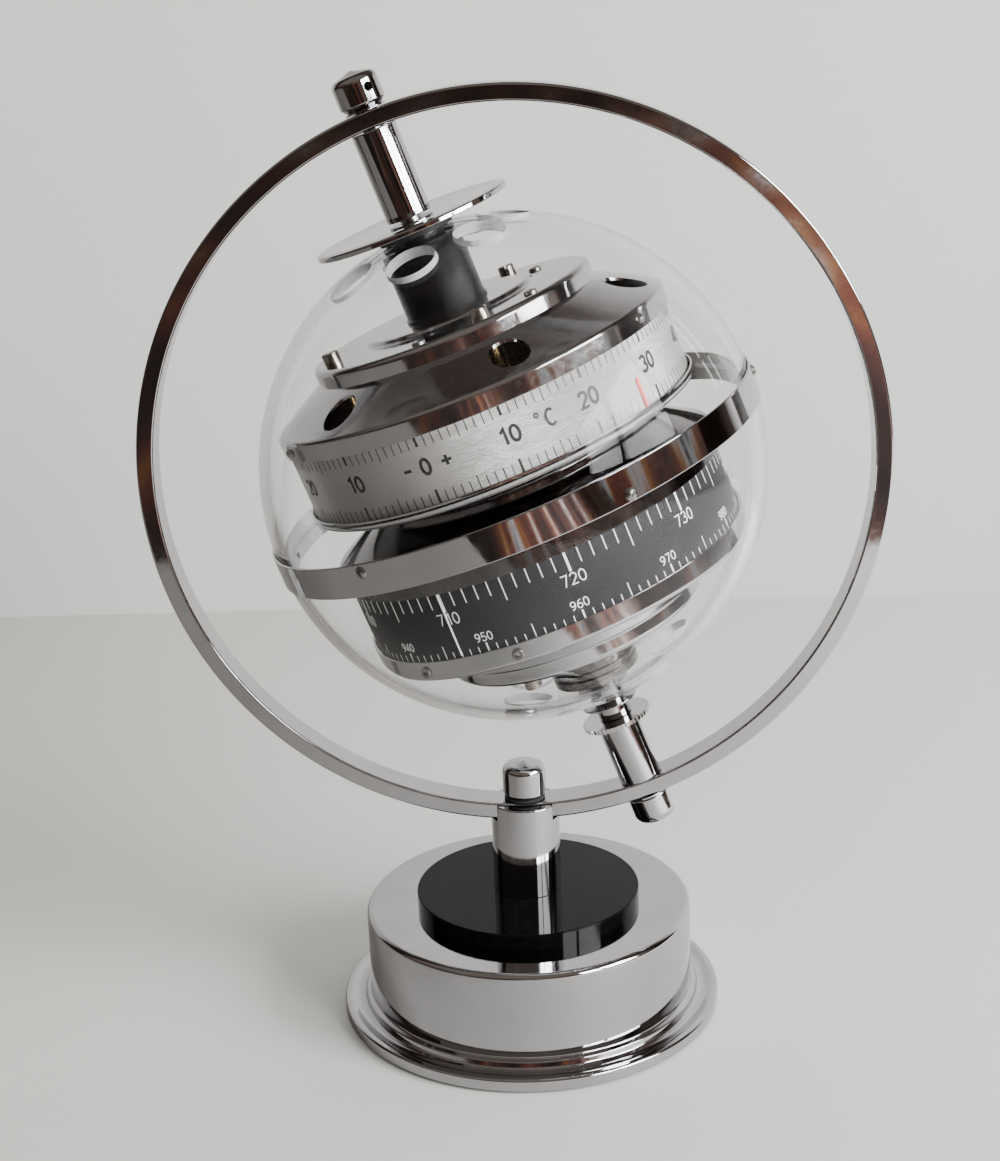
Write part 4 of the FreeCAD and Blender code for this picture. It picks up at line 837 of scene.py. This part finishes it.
def floor_material():
    """A pale table top, with painted shade and light: warmer and darker to the left, brighter to the
    right. In reflections it has an edge, with a painted reflection of a dim room beyond, and it is
    darker to the left and much brighter to the right.
    """
    material, tree, shader = new_material("floor")
    shader.inputs["Roughness"].default_value = 0.6
    shader.inputs["Specular IOR Level"].default_value = 0.2
    place = axes(tree)
    reflected = mirrored(tree)
    in_front = calculate(tree, "LESS_THAN", place["Y"], -0.5)
    aside = calculate(tree, "GREATER_THAN", place["X"], 1.0)
    outside = calculate(tree, "MAXIMUM", in_front, aside)
    # Painted shade: the table top turns warmer and darker toward the left, away from the window.
    pale = tint(tree, spread(tree, place["X"], 0.0, 1.0, -0.25, 0.20),
                (0.66, 0.645, 0.605), (0.74, 0.74, 0.735), 0.0, 1.0)
    # Painted reflection: past the table's front and right edges, reflected rays see dim room colours
    # instead of the table.
    dim = furniture(tree, noise(tree, 1.0, 3.0, (9.0, 0.8, 1.0)))
    colour = blend(tree, calculate(tree, "MULTIPLY", reflected, outside), pale, dim)
    # Painted light: to the camera the table is a little brighter toward the window on the right.
    painted_light_seen = spread(tree, place["X"], 0.97, 1.04, -0.35, 0.35)
    # Painted reflection: in reflections the table is darker to the left and up to 1.9 times brighter
    # toward the window.
    painted_light_reflected = spread(tree, place["X"], 0.52, 1.9, -0.13, 0.28)
    shade = tree.nodes.new("ShaderNodeVectorMath")
    shade.operation = "SCALE"
    tree.links.new(colour, shade.inputs[0])
    tree.links.new(blend(tree, reflected, painted_light_seen, painted_light_reflected, "FLOAT"), shade.inputs["Scale"])
    tree.links.new(shade.outputs["Vector"], shader.inputs["Base Color"])
    bump(tree, shader, noise(tree, 60.0, 5.0), 0.05, 0.001)
    return material


def wall_material():
    """A pale wall, clear from behind. In reflections it darkens upward and to its sides: a painted
    reflection of a dark room.
    """
    material, tree, shader = new_material("wall")
    shader.inputs["Roughness"].default_value = 0.8
    shader.inputs["Specular IOR Level"].default_value = 0.1
    place = axes(tree)
    # Painted reflection: reflected rays see the wall dark brown above and toward its ends.
    above = spread(tree, place["Z"], 0.0, 1.0, 0.36, 0.70)
    sideways = spread(tree, calculate(tree, "ABSOLUTE", place["X"]), 0.0, 1.0, 0.75, 0.95)
    edge = calculate(tree, "MAXIMUM", above, sideways)
    pale = tint(tree, noise(tree, 2.0, 3.0), (0.74, 0.74, 0.73), (0.76, 0.76, 0.75))
    dark = (0.06, 0.045, 0.04, 1)
    colour = blend(tree, calculate(tree, "MULTIPLY", mirrored(tree), edge), pale, dark)
    tree.links.new(colour, shader.inputs["Base Color"])
    facing = tree.nodes.new("ShaderNodeNewGeometry")
    see_through(tree, shader, facing.outputs["Backfacing"])
    return material


def surroundings():
    """Even pale light, and a painted reflection of the dim room round the table, seen only by reflected
    rays.
    """
    world = bpy.data.worlds.new("room")
    world.use_nodes = True
    tree = world.node_tree
    # Painted reflection: the room colours below, which turn to warm brown upward, are seen only by
    # reflected rays.
    painted_room_reflection = furniture(tree, noise(tree, 3.2, 4.0, kind="Generated"))
    upward = spread(tree, axes(tree, "Generated")["Z"], 0.0, 1.0, 0.0, 0.6)
    room = blend(tree, upward, painted_room_reflection, (0.24, 0.205, 0.18, 1))
    light = blend(tree, mirrored(tree), (0.41, 0.41, 0.40, 1), room)
    tree.links.new(light, tree.nodes["Background"].inputs["Color"])
    return world


WINDOW_POWER = 42 / 0.54  # watts per square metre


def window(name, place, width, height):
    """A soft rectangular light that faces straight across the table."""
    light = bpy.data.lights.new(name, "AREA")
    light.shape = "RECTANGLE"
    light.size = width
    light.size_y = height
    light.energy = WINDOW_POWER * width * height
    light.color = (1.0, 0.995, 0.99)
    obj = bpy.data.objects.new(name, light)
    bpy.context.scene.collection.objects.link(obj)
    obj.location = place
    obj.rotation_euler = Vector((-1, 0, 0)).to_track_quat("-Z", "Y").to_euler()


REACH = 6
WALL_Y = 0.40
stage_plane("floor", [(-REACH, -REACH, 0), (REACH, -REACH, 0), (REACH, REACH, 0), (-REACH, REACH, 0)],
            floor_material())
stage_plane("wall", [(-REACH, WALL_Y, 0), (REACH, WALL_Y, 0), (REACH, WALL_Y, 5), (-REACH, WALL_Y, 5)],
            wall_material())
bpy.context.scene.world = surroundings()

WINDOW_X = 1.3
WINDOW_WIDTH = 0.72
for column, y in enumerate((-1.45, -0.62)):
    for row, (z, height) in enumerate(((1.05, 0.66), (0.575, 0.21))):
        window("window_%d" % (2 * row + column), (WINDOW_X, y, z), WINDOW_WIDTH, height)

# ---------------------------------------------------------------- camera

camera = bpy.data.cameras.new("camera")
camera.lens = 62.03
camera.sensor_width = 36
camera.clip_start = 0.01
viewer = bpy.data.objects.new("camera", camera)
bpy.context.scene.collection.objects.link(viewer)
azimuth, pitch, roll = (math.radians(angle) for angle in (2.14, 17.42, -2.15))
forward = Vector((-math.sin(azimuth) * math.cos(pitch), math.cos(azimuth) * math.cos(pitch),
                  -math.sin(pitch)))
right = Vector((math.cos(azimuth), math.sin(azimuth), 0))
up = right.cross(forward)
level = right * math.cos(roll) + up * math.sin(roll)
upward = -right * math.sin(roll) + up * math.cos(roll)
turn = Matrix((level, upward, -forward)).transposed().to_4x4()
viewer.matrix_world = Matrix.Translation((0.0161, -0.56859, 0.31683)) @ turn
bpy.context.scene.camera = viewer
